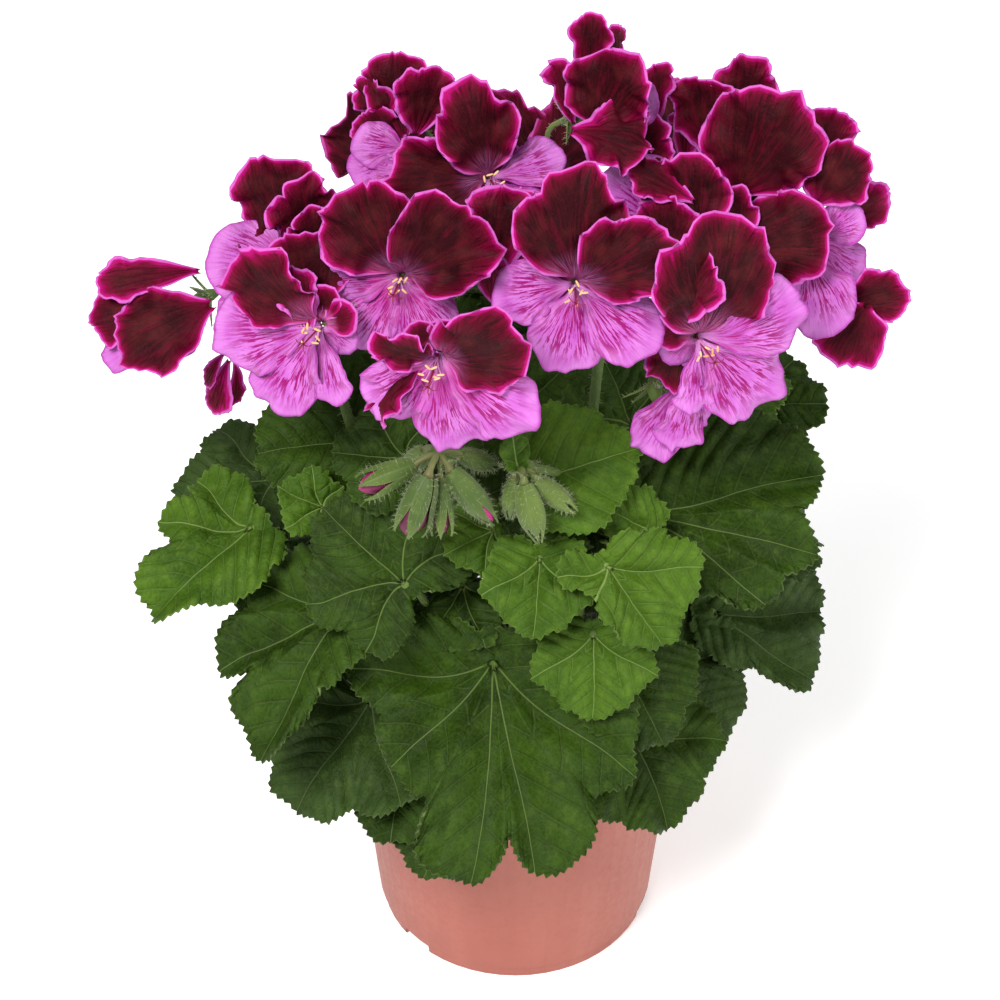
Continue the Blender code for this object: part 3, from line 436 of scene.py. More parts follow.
class Build:
    """Collects points, faces, material numbers and point attributes, and makes one mesh object of them."""
    def __init__(self):
        self.v, self.f, self.m, self.n = [], [], [], 0
        self.attrs = {}
        self.mats = []
    def mat(self, material):
        if material not in self.mats:
            self.mats.append(material)
        return self.mats.index(material)
    def add(self, pts, faces, material, **attrs):
        pts = np.asarray(pts, float).reshape(-1, 3)
        for k in attrs:
            if k not in self.attrs:
                self.attrs[k] = [np.zeros(self.n) if np.ndim(attrs[k]) < 2 else np.zeros((self.n, 3))]
        for k in self.attrs:
            if k in attrs:
                a = np.asarray(attrs[k], float)
                self.attrs[k].append(np.full(len(pts), float(a)) if a.ndim == 0 else a)
            else:
                one = self.attrs[k][0]
                self.attrs[k].append(np.zeros(len(pts)) if one.ndim < 2 else np.zeros((len(pts), 3)))
        mi = self.mat(material)
        for f in faces:
            f = np.asarray(f, int)
            if len(f):
                self.f.append(f+self.n)
                self.m.append(np.full(len(f), mi))
        self.v.append(pts)
        self.n += len(pts)
    def make(self, name, soft=True):
        me = bpy.data.meshes.new(name)
        v = np.vstack(self.v)*MM
        me.vertices.add(len(v))
        me.vertices.foreach_set('co', v.astype(np.float32).ravel())
        loops = np.concatenate([f.ravel() for f in self.f])
        tot = np.concatenate([np.full(len(f), f.shape[1]) for f in self.f])
        start = np.r_[0, np.cumsum(tot)[:-1]]
        me.loops.add(len(loops))
        me.loops.foreach_set('vertex_index', loops.astype(np.int32))
        me.polygons.add(len(tot))
        me.polygons.foreach_set('loop_start', start.astype(np.int32))
        me.polygons.foreach_set('loop_total', tot.astype(np.int32))
        me.polygons.foreach_set('material_index', np.concatenate(self.m).astype(np.int32))
        me.polygons.foreach_set('use_smooth', np.ones(len(tot), bool) if soft else np.zeros(len(tot), bool))
        for k, parts in self.attrs.items():
            a = np.concatenate(parts) if parts[0].ndim < 2 else np.vstack(parts)
            kind = 'FLOAT' if a.ndim < 2 else 'FLOAT_VECTOR'
            at = me.attributes.new(k, kind, 'POINT')
            at.data.foreach_set('value' if kind == 'FLOAT' else 'vector', a.astype(np.float32).ravel())
        for m in self.mats:
            me.materials.append(m)
        me.update(calc_edges=True)
        me.validate()
        ob = bpy.data.objects.new(name, me)
        bpy.context.scene.collection.objects.link(ob)
        return ob

def grid(nr, nc, wrap):
    i, j = np.meshgrid(np.arange(nr-1), np.arange(nc if wrap else nc-1), indexing='ij')
    k = (j+1) % nc
    return np.stack([i*nc+j, i*nc+k, (i+1)*nc+k, (i+1)*nc+j], -1).reshape(-1, 4)

def grid_normals(P, wrap):
    if wrap:
        dc = np.roll(P, -1, 1)-np.roll(P, 1, 1)
    else:
        dc = np.gradient(P, axis=1)
    dr = np.gradient(P, axis=0)
    n = np.cross(dr, dc)
    return n/np.maximum(np.linalg.norm(n, axis=-1)[..., None], 1e-9)

def add_tube(B, path, radii, sides, material, cap=True, start_dir=None, **attrs):
    rings = np.array(tube_rings(path, radii, sides, start_dir))
    n = len(rings)
    f = [grid(n, sides, True)]
    pts = rings.reshape(-1, 3)
    if cap:
        pts = np.vstack([pts, path[0], path[-1]])
        a, b = n*sides, n*sides+1
        j = np.arange(sides)
        k = (j+1) % sides
        f += [np.stack([np.full(sides, a), k, j], 1), np.stack([np.full(sides, b), (n-1)*sides+j, (n-1)*sides+k], 1)]
    B.add(pts, f, material, **attrs)
    return rings

def add_hairs(B, pts, dirs, lengths, material, rng, r=.045, bend=.35, **attrs):
    """Fine bent hairs: a three-sided shaft in two steps."""
    pts, dirs = np.asarray(pts, float), np.asarray(dirs, float)
    n = len(pts)
    if not n:
        return
    side = rng.normal(size=(n, 3))
    side = side-dirs*np.sum(side*dirs, 1)[:, None]
    side /= np.maximum(np.linalg.norm(side, axis=1)[:, None], 1e-6)
    other = np.cross(dirs, side)
    L = np.asarray(lengths)[:, None]
    mid = pts+dirs*L*.55+side*L*bend*.18
    tip = pts+dirs*L+side*L*bend*.6+V(0, 0, -1)*L*.12
    out = []
    for c, rr in ((pts-dirs*.15, r), (mid, r*.7)):
        for a in (0, 2.094, 4.189):
            out.append(c+rr*(math.cos(a)*side+math.sin(a)*other))
    out.append(tip)
    P = np.stack(out, 1)
    base = (np.arange(n)*7)[:, None]
    q = np.concatenate([base+np.array(x) for x in ([0, 1, 4, 3], [1, 2, 5, 4], [2, 0, 3, 5])])
    t = np.concatenate([base+np.array(x) for x in ([3, 4, 6], [4, 5, 6], [5, 3, 6])])
    B.add(P.reshape(-1, 3), [q, t], material, **attrs)

# ---------------------------------------------------------------- node materials
class Mat:
    def __init__(self, name, rough=.6, sheen=0.0, sheen_tint=(1, 1, 1), sheen_rough=.5, spec=.5):
        self.m = bpy.data.materials.new(name)
        self.m.use_nodes = True
        self.t = self.m.node_tree
        self.b = self.t.nodes['Principled BSDF']
        self.b.inputs['Roughness'].default_value = rough
        self.b.inputs['Sheen Weight'].default_value = sheen
        self.b.inputs['Sheen Tint'].default_value = (*sheen_tint, 1)
        self.b.inputs['Sheen Roughness'].default_value = sheen_rough
        self.b.inputs['Specular IOR Level'].default_value = spec
    def node(self, kind, **props):
        n = self.t.nodes.new(kind)
        for k, v in props.items():
            setattr(n, k, v)
        return n
    def put(self, sock, v):
        if isinstance(v, bpy.types.NodeSocket):
            self.t.links.new(v, sock)
        elif isinstance(v, (tuple, list)) and len(v) == 3 and sock.type == 'RGBA':
            sock.default_value = (*v, 1)
        else:
            sock.default_value = v
    def attr(self, name, what='Fac'):
        return self.node('ShaderNodeAttribute', attribute_name=name).outputs[what]
    def math(self, op, a, b=0.0, c=0.0, clamp=False):
        n = self.node('ShaderNodeMath', operation=op, use_clamp=clamp)
        for s, v in zip(n.inputs, (a, b, c)):
            self.put(s, v)
        return n.outputs[0]
    def step(self, x, a, b, lo=0.0, hi=1.0):
        n = self.node('ShaderNodeMapRange', interpolation_type='SMOOTHSTEP')
        for s, v in zip(n.inputs, (x, a, b, lo, hi)):
            self.put(s, v)
        return n.outputs[0]
    def lin(self, x, a, b, lo=0.0, hi=1.0):
        n = self.node('ShaderNodeMapRange')
        for s, v in zip(n.inputs, (x, a, b, lo, hi)):
            self.put(s, v)
        return n.outputs[0]
    def mix(self, f, a, b, mode='MIX'):
        n = self.node('ShaderNodeMix', data_type='RGBA', blend_type=mode)
        self.put(n.inputs[0], f)
        self.put(n.inputs[6], a)
        self.put(n.inputs[7], b)
        return n.outputs[2]
    def ramp(self, x, stops):
        n = self.node('ShaderNodeValToRGB')
        e = n.color_ramp.elements
        while len(e) < len(stops):
            e.new(.5)
        for el, (p, c) in zip(e, stops):
            el.position = p
            el.color = (*c, 1)
        self.put(n.inputs[0], x)
        return n.outputs[0]
    def combine(self, x, y, z):
        n = self.node('ShaderNodeCombineXYZ')
        for s, v in zip(n.inputs, (x, y, z)):
            self.put(s, v)
        return n.outputs[0]
    def noise(self, vec, scale=5.0, detail=2.0, rough=.5, distort=0.0):
        n = self.node('ShaderNodeTexNoise')
        if vec is not None:
            self.put(n.inputs['Vector'], vec)
        n.inputs['Scale'].default_value = scale
        n.inputs['Detail'].default_value = detail
        n.inputs['Roughness'].default_value = rough
        n.inputs['Distortion'].default_value = distort
        return n.outputs[0]
    def cells(self, vec, scale=5.0, feature='DISTANCE_TO_EDGE'):
        n = self.node('ShaderNodeTexVoronoi', feature=feature)
        if vec is not None:
            self.put(n.inputs['Vector'], vec)
        n.inputs['Scale'].default_value = scale
        return n.outputs[0]
    def where(self):
        return self.node('ShaderNodeTexCoord').outputs['Object']
    def bump(self, h, strength=.3, dist=.0005):
        n = self.node('ShaderNodeBump')
        n.inputs['Strength'].default_value = strength
        n.inputs['Distance'].default_value = dist
        self.put(n.inputs['Height'], h)
        self.t.links.new(n.outputs[0], self.b.inputs['Normal'])
    def color(self, c):
        self.put(self.b.inputs['Base Color'], c)
    def rough(self, r):
        self.put(self.b.inputs['Roughness'], r)

def srgb(r, g, b):
    f = lambda c: c/255/12.92 if c/255 <= .04045 else ((c/255+.055)/1.055)**2.4
    return (f(r), f(g), f(b))

def leaf_material(name, dark, mid, light, vein, under=False, rough=.58, sheen=.0):
    m = Mat(name, rough, sheen, (.8, .9, .6), .5, .13)
    xy = m.attr('lf', 'Vector')
    vb, vc, q, edge, tone = m.attr('vb'), m.attr('vc'), m.attr('vq'), m.attr('vm'), m.attr('tone')
    fine = m.noise(xy, 1.1, 4, .65)
    broad = m.noise(xy, .05, 3, .55, .6)
    mottle = m.noise(xy, .22, 3, .6)
    cell = m.cells(xy, .50)
    c = m.mix(m.step(broad, .30, .70), dark, mid)
    c = m.mix(m.math('MULTIPLY', m.step(mottle, .45, .75), .35), c, light)
    c = m.mix(m.math('MULTIPLY', m.step(fine, .45, .75), .22), c, light)
    # a faint web of small veins, then side veins, then the main ones
    web = m.math('SUBTRACT', 1.0, m.step(cell, .01, .07))
    c = m.mix(m.math('MULTIPLY', web, .05 if not under else .3), c, vein)
    ping = m.math('MULTIPLY', m.math('PINGPONG', vc, .5), m.attr('vs'))
    thin = m.lin(q, 0, 1, .34, .24)
    side = m.math('SUBTRACT', 1.0, m.step(m.math('DIVIDE', ping, thin), .5, 2.1))
    side = m.math('MULTIPLY', side, m.step(vb, .5, 1.6))
    side = m.math('MULTIPLY', side, m.lin(q, .15, 1.05, 1.0, .55))
    main_w = m.lin(q, 0, 1, .34, .10)
    main = m.math('SUBTRACT', 1.0, m.step(m.math('DIVIDE', vb, main_w), .5, 1.6))
    # painted shade: the blade is a little darker along its sunken veins, as the shade in their grooves, and lighter
    # between them
    soft = m.math('SUBTRACT', 1.0, m.step(vb, .3, 3.2))
    c = m.mix(m.math('MULTIPLY', soft, .34), c, dark)
    wide = m.math('SUBTRACT', 1.0, m.step(ping, .3, 2.0))
    c = m.mix(m.math('MULTIPLY', wide, .30), c, dark)
    c = m.mix(m.math('MULTIPLY', side, .12 if not under else .7), c, vein)
    c = m.mix(m.math('MULTIPLY', main, .52 if not under else .85), c, vein)
    rim = m.math('SUBTRACT', 1.0, m.step(edge, .1, .55))
    c = m.mix(m.math('MULTIPLY', rim, .16), c, vein)
    # per-leaf tone: above zero lighter and yellower, for young leaves; below zero darker, which on the deep leaves
    # inside the plant is painted shade
    c = m.mix(m.step(tone, 0, 1, 0, .75), c, m.mix(.55, c, (.10, .18, .02)))
    c = m.mix(m.step(m.math('MULTIPLY', tone, -1.0), 0, 1, 0, .85), c, m.mix(.6, c, (.010, .022, .004)))
    m.color(c)
    h = m.math('MULTIPLY', m.step(cell, 0.0, .35), .40)
    h = m.math('ADD', h, m.math('MULTIPLY', fine, .5))
    h = m.math('ADD', h, m.math('MULTIPLY', mottle, .8))
    h = m.math('SUBTRACT' if not under else 'ADD', h, m.math('MULTIPLY', side, .9))
    h = m.math('SUBTRACT' if not under else 'ADD', h, m.math('MULTIPLY', main, 1.2))
    m.bump(h, .55, .0007)
    m.rough(m.lin(fine, .3, .7, rough-.08, rough+.1))
    return m.m

def petal_dark_material(name, back=False):
    m = Mat(name, .55 if not back else .65, .0, (.9, .35, .55), .5, .07)
    r, t, e, xy, seed = m.attr('pr'), m.attr('pt'), m.attr('pe'), m.attr('pf', 'Vector'), m.attr('ps')
    fan = m.noise(m.combine(m.math('MULTIPLY', t, 5.5), m.math('MULTIPLY', r, 1.1), seed), 2.4, 4, .62)
    fine = m.noise(m.combine(m.math('MULTIPLY', t, 17.0), m.math('MULTIPLY', r, 2.2), seed), 2.6, 3, .6)
    rag = m.math('MULTIPLY', m.math('SUBTRACT', m.math('ADD', m.math('MULTIPLY', fan, .45), m.math('MULTIPLY', fine, .55)), .5), 13.5)
    # the pale margin is broad in places and nearly gone in others
    wide = m.lin(m.noise(xy, .055, 2, .5), .36, .64, 1.7, .85)
    d = m.math('ADD', m.math('MULTIPLY', e, wide), m.math('MULTIPLY', rag, m.step(e, .6, 5.0)))
    lilac, hot = srgb(202, 94, 184), srgb(164, 8, 98)
    if back:
        lilac, hot = srgb(176, 74, 150), srgb(136, 20, 76)
    crimson = srgb(112, 3, 46) if not back else srgb(92, 10, 36)
    deep = srgb(78, 5, 26) if not back else srgb(68, 12, 24)
    ink = srgb(46, 6, 13) if not back else srgb(50, 12, 20)
    c = m.ramp(m.lin(d, 0, 12), [(0, lilac), (.050, lilac), (.092, hot), (.125, hot), (.20, crimson), (.38, deep), (.72, ink)])
    # velvet: a faint russet and crimson sheen in soft patches, which is a painted highlight, and thin darker veins that
    # fan out
    c = m.mix(m.math('MULTIPLY', m.step(m.noise(xy, .12, 3, .5), .42, .75), m.step(e, 3, 8, 0, .55)), c, srgb(92, 30, 32))
    c = m.mix(m.math('MULTIPLY', m.step(m.noise(xy, .9, 3, .6), .5, .8), m.step(e, 2, 6, 0, .26)), c, srgb(108, 16, 36))
    c = m.mix(m.math('MULTIPLY', m.step(fan, .50, .66), m.step(e, 1.5, 4, 0, .34)), c, srgb(110, 4, 38))
    vein = m.step(fine, .54, .66)
    c = m.mix(m.math('MULTIPLY', vein, m.step(e, .8, 3, 0, .70)), c, m.mix(.72, c, (.005, .0005, .001)))
    # the throat: pale, with feathered streaks
    open_ = m.step(m.attr('pd'), -.5, 0)
    pale = m.math('MULTIPLY', m.math('SUBTRACT', 1.0, m.step(r, .10, .42)), m.step(fine, .42, .58))
    c = m.mix(m.math('MULTIPLY', m.math('MULTIPLY', pale, open_), .85), c, srgb(196, 120, 180))
    mag = m.math('MULTIPLY', m.math('SUBTRACT', 1.0, m.step(r, .16, .50)), m.step(fan, .40, .62))
    c = m.mix(m.math('MULTIPLY', m.math('MULTIPLY', mag, open_), .45), c, srgb(150, 8, 84))
    m.color(c)
    m.bump(m.math('ADD', m.math('MULTIPLY', fine, 1.0), m.math('MULTIPLY', m.noise(xy, 1.2, 3), .9)), .5, .0006)
    return m.m

def petal_pink_material(name, back=False):
    m = Mat(name, .52, .05, (1, .8, 1), .4, .2)
    r, t, e, xy, seed, deep = m.attr('pr'), m.attr('pt'), m.attr('pe'), m.attr('pf', 'Vector'), m.attr('ps'), m.attr('pd')
    fan = m.noise(m.combine(m.math('MULTIPLY', t, 4.6), m.math('MULTIPLY', r, .9), seed), 2.0, 3, .6)
    dash = m.noise(m.combine(m.math('MULTIPLY', t, 10.5), m.math('MULTIPLY', r, 2.1), seed), 2.4, 3, .62)
    line = m.noise(m.combine(m.math('MULTIPLY', t, 22.0), m.math('MULTIPLY', r, 1.6), seed), 2.4, 2, .6)
    base = srgb(180, 82, 178) if not back else srgb(174, 92, 172)
    c = m.mix(m.step(m.noise(xy, .10, 2), .3, .7), base, srgb(198, 114, 198))
    c = m.mix(m.math('MULTIPLY', m.step(line, .48, .64), .32), c, srgb(160, 46, 150))
    band = m.math('MULTIPLY', m.step(r, .08, .26), m.math('SUBTRACT', 1.0, m.step(r, .62, .94)))
    mid = m.math('SUBTRACT', 1.0, m.step(m.math('ABSOLUTE', t), .35, 1.1))
    k = m.math('MULTIPLY', m.math('MULTIPLY', m.step(dash, .495, .540), band), m.lin(mid, 0, 1, .45, 1))
    c = m.mix(m.math('MULTIPLY', k, 1.0 if not back else .35), c, srgb(142, 0, 100))
    # deeper hot magenta near the base of the lower petals, by the amount pd: the petal's own colour, raised on flowers
    # and petal feet that sit in shade, as painted shade
    base_magenta_and_shade = m.math('MULTIPLY', m.math('SUBTRACT', 1.0, m.step(r, .12, .72)), m.math('MULTIPLY', deep, m.step(fan, .20, .60)))
    c = m.mix(m.math('MULTIPLY', base_magenta_and_shade, .92), c, srgb(172, 8, 120))
    pale = m.math('MULTIPLY', m.math('SUBTRACT', 1.0, m.step(r, .06, .24)), m.step(line, .38, .58))
    c = m.mix(m.math('MULTIPLY', pale, .6), c, srgb(226, 170, 220))
    # painted shadow: a thin darker magenta line along each petal's margin stands for the shade where one petal lies
    # over the next
    rim = m.math('SUBTRACT', 1.0, m.step(e, .1, .9))
    c = m.mix(m.math('MULTIPLY', rim, .62), c, srgb(156, 44, 142))
    halo = m.math('MULTIPLY', m.step(e, .6, 1.6), m.math('SUBTRACT', 1.0, m.step(e, 2.0, 5.0)))
    c = m.mix(m.math('MULTIPLY', halo, .22), c, srgb(208, 136, 202))
    m.color(c)
    m.bump(m.math('ADD', line, m.math('MULTIPLY', m.noise(xy, 1.4, 3), .8)), .45, .0006)
    return m.m

def green_material(name, a, b, streak=None, rough=.6, sheen=.3):
    m = Mat(name, rough, sheen, (.9, 1, .8), .5, .4)
    w = m.where()
    n = m.noise(w, 260, 3, .6)
    big = m.noise(w, 40, 2, .5)
    c = m.mix(m.step(big, .35, .65), a, b)
    c = m.mix(m.math('MULTIPLY', m.step(n, .5, .75), .35), c, tuple(x*1.5 for x in b))
    if streak:
        c = m.mix(m.math('MULTIPLY', m.step(m.attr('st'), .15, .9), .75), c, streak)
    m.color(c)
    m.bump(n, .35, .0004)
    return m.m

def plain_material(name, a, b, rough, scale=300, strength=.2, dist=.0003, sheen=0.0):
    m = Mat(name, rough, sheen)
    w = m.where()
    n = m.noise(w, scale, 4, .6)
    c = m.mix(m.step(m.noise(w, scale*.12, 3), .3, .7), a, b)
    m.color(c)
    m.bump(n, strength, dist)
    return m.m

# ---------------------------------------------------------------- leaves
def leaf_height(leaf, x, y):
    """The same blade form as the solid part's, as a height over the leaf's own plane."""
    size = leaf['size']
    ph = np.arctan2(y, x)
    r = np.hypot(x, y)
    q = r/size
    z = leaf.get('fold', .12)*np.abs(y)**1.15/size**.15 + leaf.get('cup', -.10)*r*q
    z = z - leaf.get('nod', .10)*size*np.clip(x/size, 0, 2)**2
    z = z + leaf.get('pleat', .035)*size*q*np.cos(ph*6.3+.4)*np.clip(q*1.6, 0, 1)
    w, seed = leaf.get('wave', .03), leaf.get('seed', 1.0)
    z = z + w*size*q**2*np.sin(ph*3.0+seed*2.1) + .6*w*size*q**3*np.sin(ph*7.0+seed*5.3)
    return z

def make_leaf(leaf, name, mats, start=None, stalk_mat=None, stalk_r=1.25):
    base, mid, side, nor, size = leaf_frame(leaf)
    leaf = dict(leaf, size=size)
    seed = leaf.get('seed', 1)
    rng = np.random.default_rng(int(seed)*17+5)
    ctrl = leaf.get('out', OUT_PLAIN)
    fine = np.linspace(-180, 180, 2881)[:-1]
    R = outline(ctrl, fine)*size
    pf = np.radians(fine)
    # each lobe has two or three lesser ones of its own
    R = R*(1+.022*np.sin(pf*13+seed)+.014*np.sin(pf*23+seed*3))
    R = np.convolve(np.r_[R[-6:], R, R[:6]], np.hanning(13)/np.hanning(13).sum(), 'valid')
    X, Y = R*np.cos(pf), R*np.sin(pf)
    seg = np.hypot(np.diff(np.r_[X, X[0]]), np.diff(np.r_[Y, Y[0]]))
    s = np.r_[0, np.cumsum(seg)]
    step = leaf.get('tooth', 2.8)
    teeth = max(24, int(s[-1]/step))
    n = teeth*3
    phi = np.interp(np.arange(n)/n*s[-1], s, np.r_[fine, 180.0])
    # main veins run to the lobes, with one more in any wide gap
    a = [c for c in ctrl]
    veins = [c[0] for i, c in enumerate(a) if 0 < i < len(a)-1 and c[1] >= a[i-1][1] and c[1] >= a[i+1][1]]
    veins = sorted(set(veins) | {0})
    more = [(p+q)/2 for p, q in zip(veins, veins[1:]) if q-p > 62]
    veins = np.array(sorted(veins+more), float)
    halves = (veins[1:]+veins[:-1])/2
    for ang in list(veins)+list(halves):
        phi[int(np.argmin(np.abs(phi-ang)))] = ang
    phi = np.sort(phi)
    rm = np.interp(phi, fine, R, period=360)
    pr = np.radians(phi)
    xm, ym = rm*np.cos(pr), rm*np.sin(pr)
    tx, ty = np.roll(xm, -1)-np.roll(xm, 1), np.roll(ym, -1)-np.roll(ym, 1)
    tl = np.maximum(np.hypot(tx, ty), 1e-6)
    nx, ny = ty/tl, -tx/tl
    amp = leaf.get('teeth', 1.2)*min(1.0, .68+size/180)
    h = np.tile([0.0, .50, 1.0], teeth)-.50
    h = h*np.repeat(rng.uniform(.65, 1.25, teeth), 3)
    rho = np.r_[np.linspace(0, .90, leaf.get('rings', 22))[1:], .95, 1.0]
    w = smooth(.84, 1, rho)[:, None]
    # the veins leave the stalk close together and swing outwards
    bow = 1-.24*(1-smooth(0, .85, rho))[:, None]*(1-smooth(112, 178, np.abs(phi)))
    pb = pr*bow
    x = rho[:, None]*rm*np.cos(pb)+w*amp*h*nx
    y = rho[:, None]*rm*np.sin(pb)+w*amp*h*ny
    r = np.hypot(x, y)
    q = np.clip(r/size, 0, 1.3)
    ang = np.broadcast_to(phi, x.shape)
    which = np.argmin(np.abs(wrap(ang[..., None]-veins)), axis=-1)
    near = veins[which]
    d = np.radians(wrap(ang-near))*bow
    va, vb, sgn = r*np.cos(d), np.abs(r*np.sin(d)), r*np.sin(d)
    spacing = max(4.6, size*leaf.get('spacing', .125))
    vc = (va-.62*vb-.016*vb*vb)/spacing+.35+seed*.13+.31*which+.42*smooth(-1.4, 1.4, sgn)
    vc = vc+.10*np.sin(x*.16+seed)+.09*np.sin(y*.19+seed*2.7)
    # the blade puffs up between its veins
    pp = np.abs((vc % 1.0)-.5)*2
    puff = leaf.get('puff', 1.0)
    z = leaf_height(leaf, x, y)
    z = z-puff*.038*size*np.exp(-(vb/(.055*size))**2)*smooth(0, .12, q)*(1-.45*q)
    z = z+puff*.075*size*smooth(.5, .18*size, vb)*(1-.30*q)
    z = z-puff*(.42+.011*size)*smooth(.05, 1.0, pp)**1.3*smooth(.3, 4.0, vb)*(1-smooth(.88, 1.05, q)*.35)
    k = 2*math.pi/size
    z = z+.030*size*np.sin(x*k*1.3+seed)*np.sin(y*k*1.7+seed*2.2)+.008*size*np.sin(x*k*4.1+seed*3)*np.sin(y*k*3.7)
    # small waves along the margin
    arc = np.arange(n)/n*2*math.pi
    z = z+leaf.get('frill', 1.0)*min(1.0, size/62)*smooth(.60, 1, rho)[:, None]*(.7*np.sin(arc*round(teeth/4.6)+seed)+1.7*np.sin(arc*round(teeth/11)+seed*2.3)+1.5*np.sin(arc*5+seed*1.1))
    # the lobes turn a little in the blade's plane
    turn = leaf.get('swirl', .05)*np.sin(seed*1.9)*(q**2)+.03*np.sin(ang*.07+seed)*(q**2)
    xx, yy = x*np.cos(turn)-y*np.sin(turn), x*np.sin(turn)+y*np.cos(turn)
    P = base+xx[..., None]*mid+yy[..., None]*side+z[..., None]*nor
    N = grid_normals(P, True)
    if np.mean(N@nor) < 0:
        N = -N
    t = .55
    nr = len(rho)
    lf = np.stack([x, y, np.full_like(x, seed*7.0)], -1)
    edge = (1-rho)[:, None]*rm*np.ones_like(x)
    tone = float(leaf.get('tone', 0.0))
    B = Build()
    at = dict(lf=lf.reshape(-1, 3), va=va.ravel(), vb=vb.ravel(), vc=vc.ravel(), vq=q.ravel(), vm=edge.ravel())
    cent = base+0*nor
    def sheet(off, flip, m):
        pts = np.vstack([(P+N*off).reshape(-1, 3), cent+nor*off])
        ex = {k: (np.vstack([v, [[0, 0, seed*7.0]]]) if v.ndim > 1 else np.r_[v, 0.0]) for k, v in at.items()}
        g = grid(nr, n, True)
        c = nr*n
        j = np.arange(n)
        f = np.stack([np.full(n, c), j, (j+1) % n], 1)
        if flip:
            g, f = g[:, ::-1], f[:, ::-1]
        B.add(pts, [g, f], m, tone=tone, vs=spacing, **ex)
    ccw = np.dot(np.cross(P[-1, 1]-P[-1, 0], base-P[-1, 0]), nor) > 0
    sheet(t/2, ccw, mats[0])
    sheet(-t/2, not ccw, mats[1])
    # margin strip joining the two faces
    top0, low0 = (nr-1)*n, (nr*n+1)+(nr-1)*n
    j = np.arange(n)
    k2 = (j+1) % n
    strip = np.stack([top0+j, top0+k2, low0+k2, low0+j], 1)
    if ccw:
        strip = strip[:, ::-1]
    B.f.append(strip)
    B.m.append(np.full(n, B.mat(mats[0])))
    if start is not None:
        path = stalk_path(leaf, start, 18)
        path = np.vstack([path, base-nor*.05])
        rr = np.r_[np.linspace(stalk_r*1.25, stalk_r, 4), np.full(11, stalk_r), stalk_r*1.05, stalk_r*1.2, stalk_r*1.35, stalk_r*.9]
        add_tube(B, path, rr, 10, stalk_mat)
        # fine white down on the stalk
        if leaf.get('hair', True):
            m = 150
            kk = rng.integers(0, len(path)-2, m)
            f = rng.random(m)[:, None]
            p = path[kk]*(1-f)+path[kk+1]*f
            tg = path[kk+1]-path[kk]
            tg /= np.linalg.norm(tg, axis=1)[:, None]
            dd = rng.normal(size=(m, 3))
            dd -= tg*np.sum(dd*tg, 1)[:, None]
            dd /= np.linalg.norm(dd, axis=1)[:, None]
            add_hairs(B, p+dd*stalk_r, dd, rng.uniform(.7, 1.5, m), HAIR, rng, r=.035)
    return B.make(name)

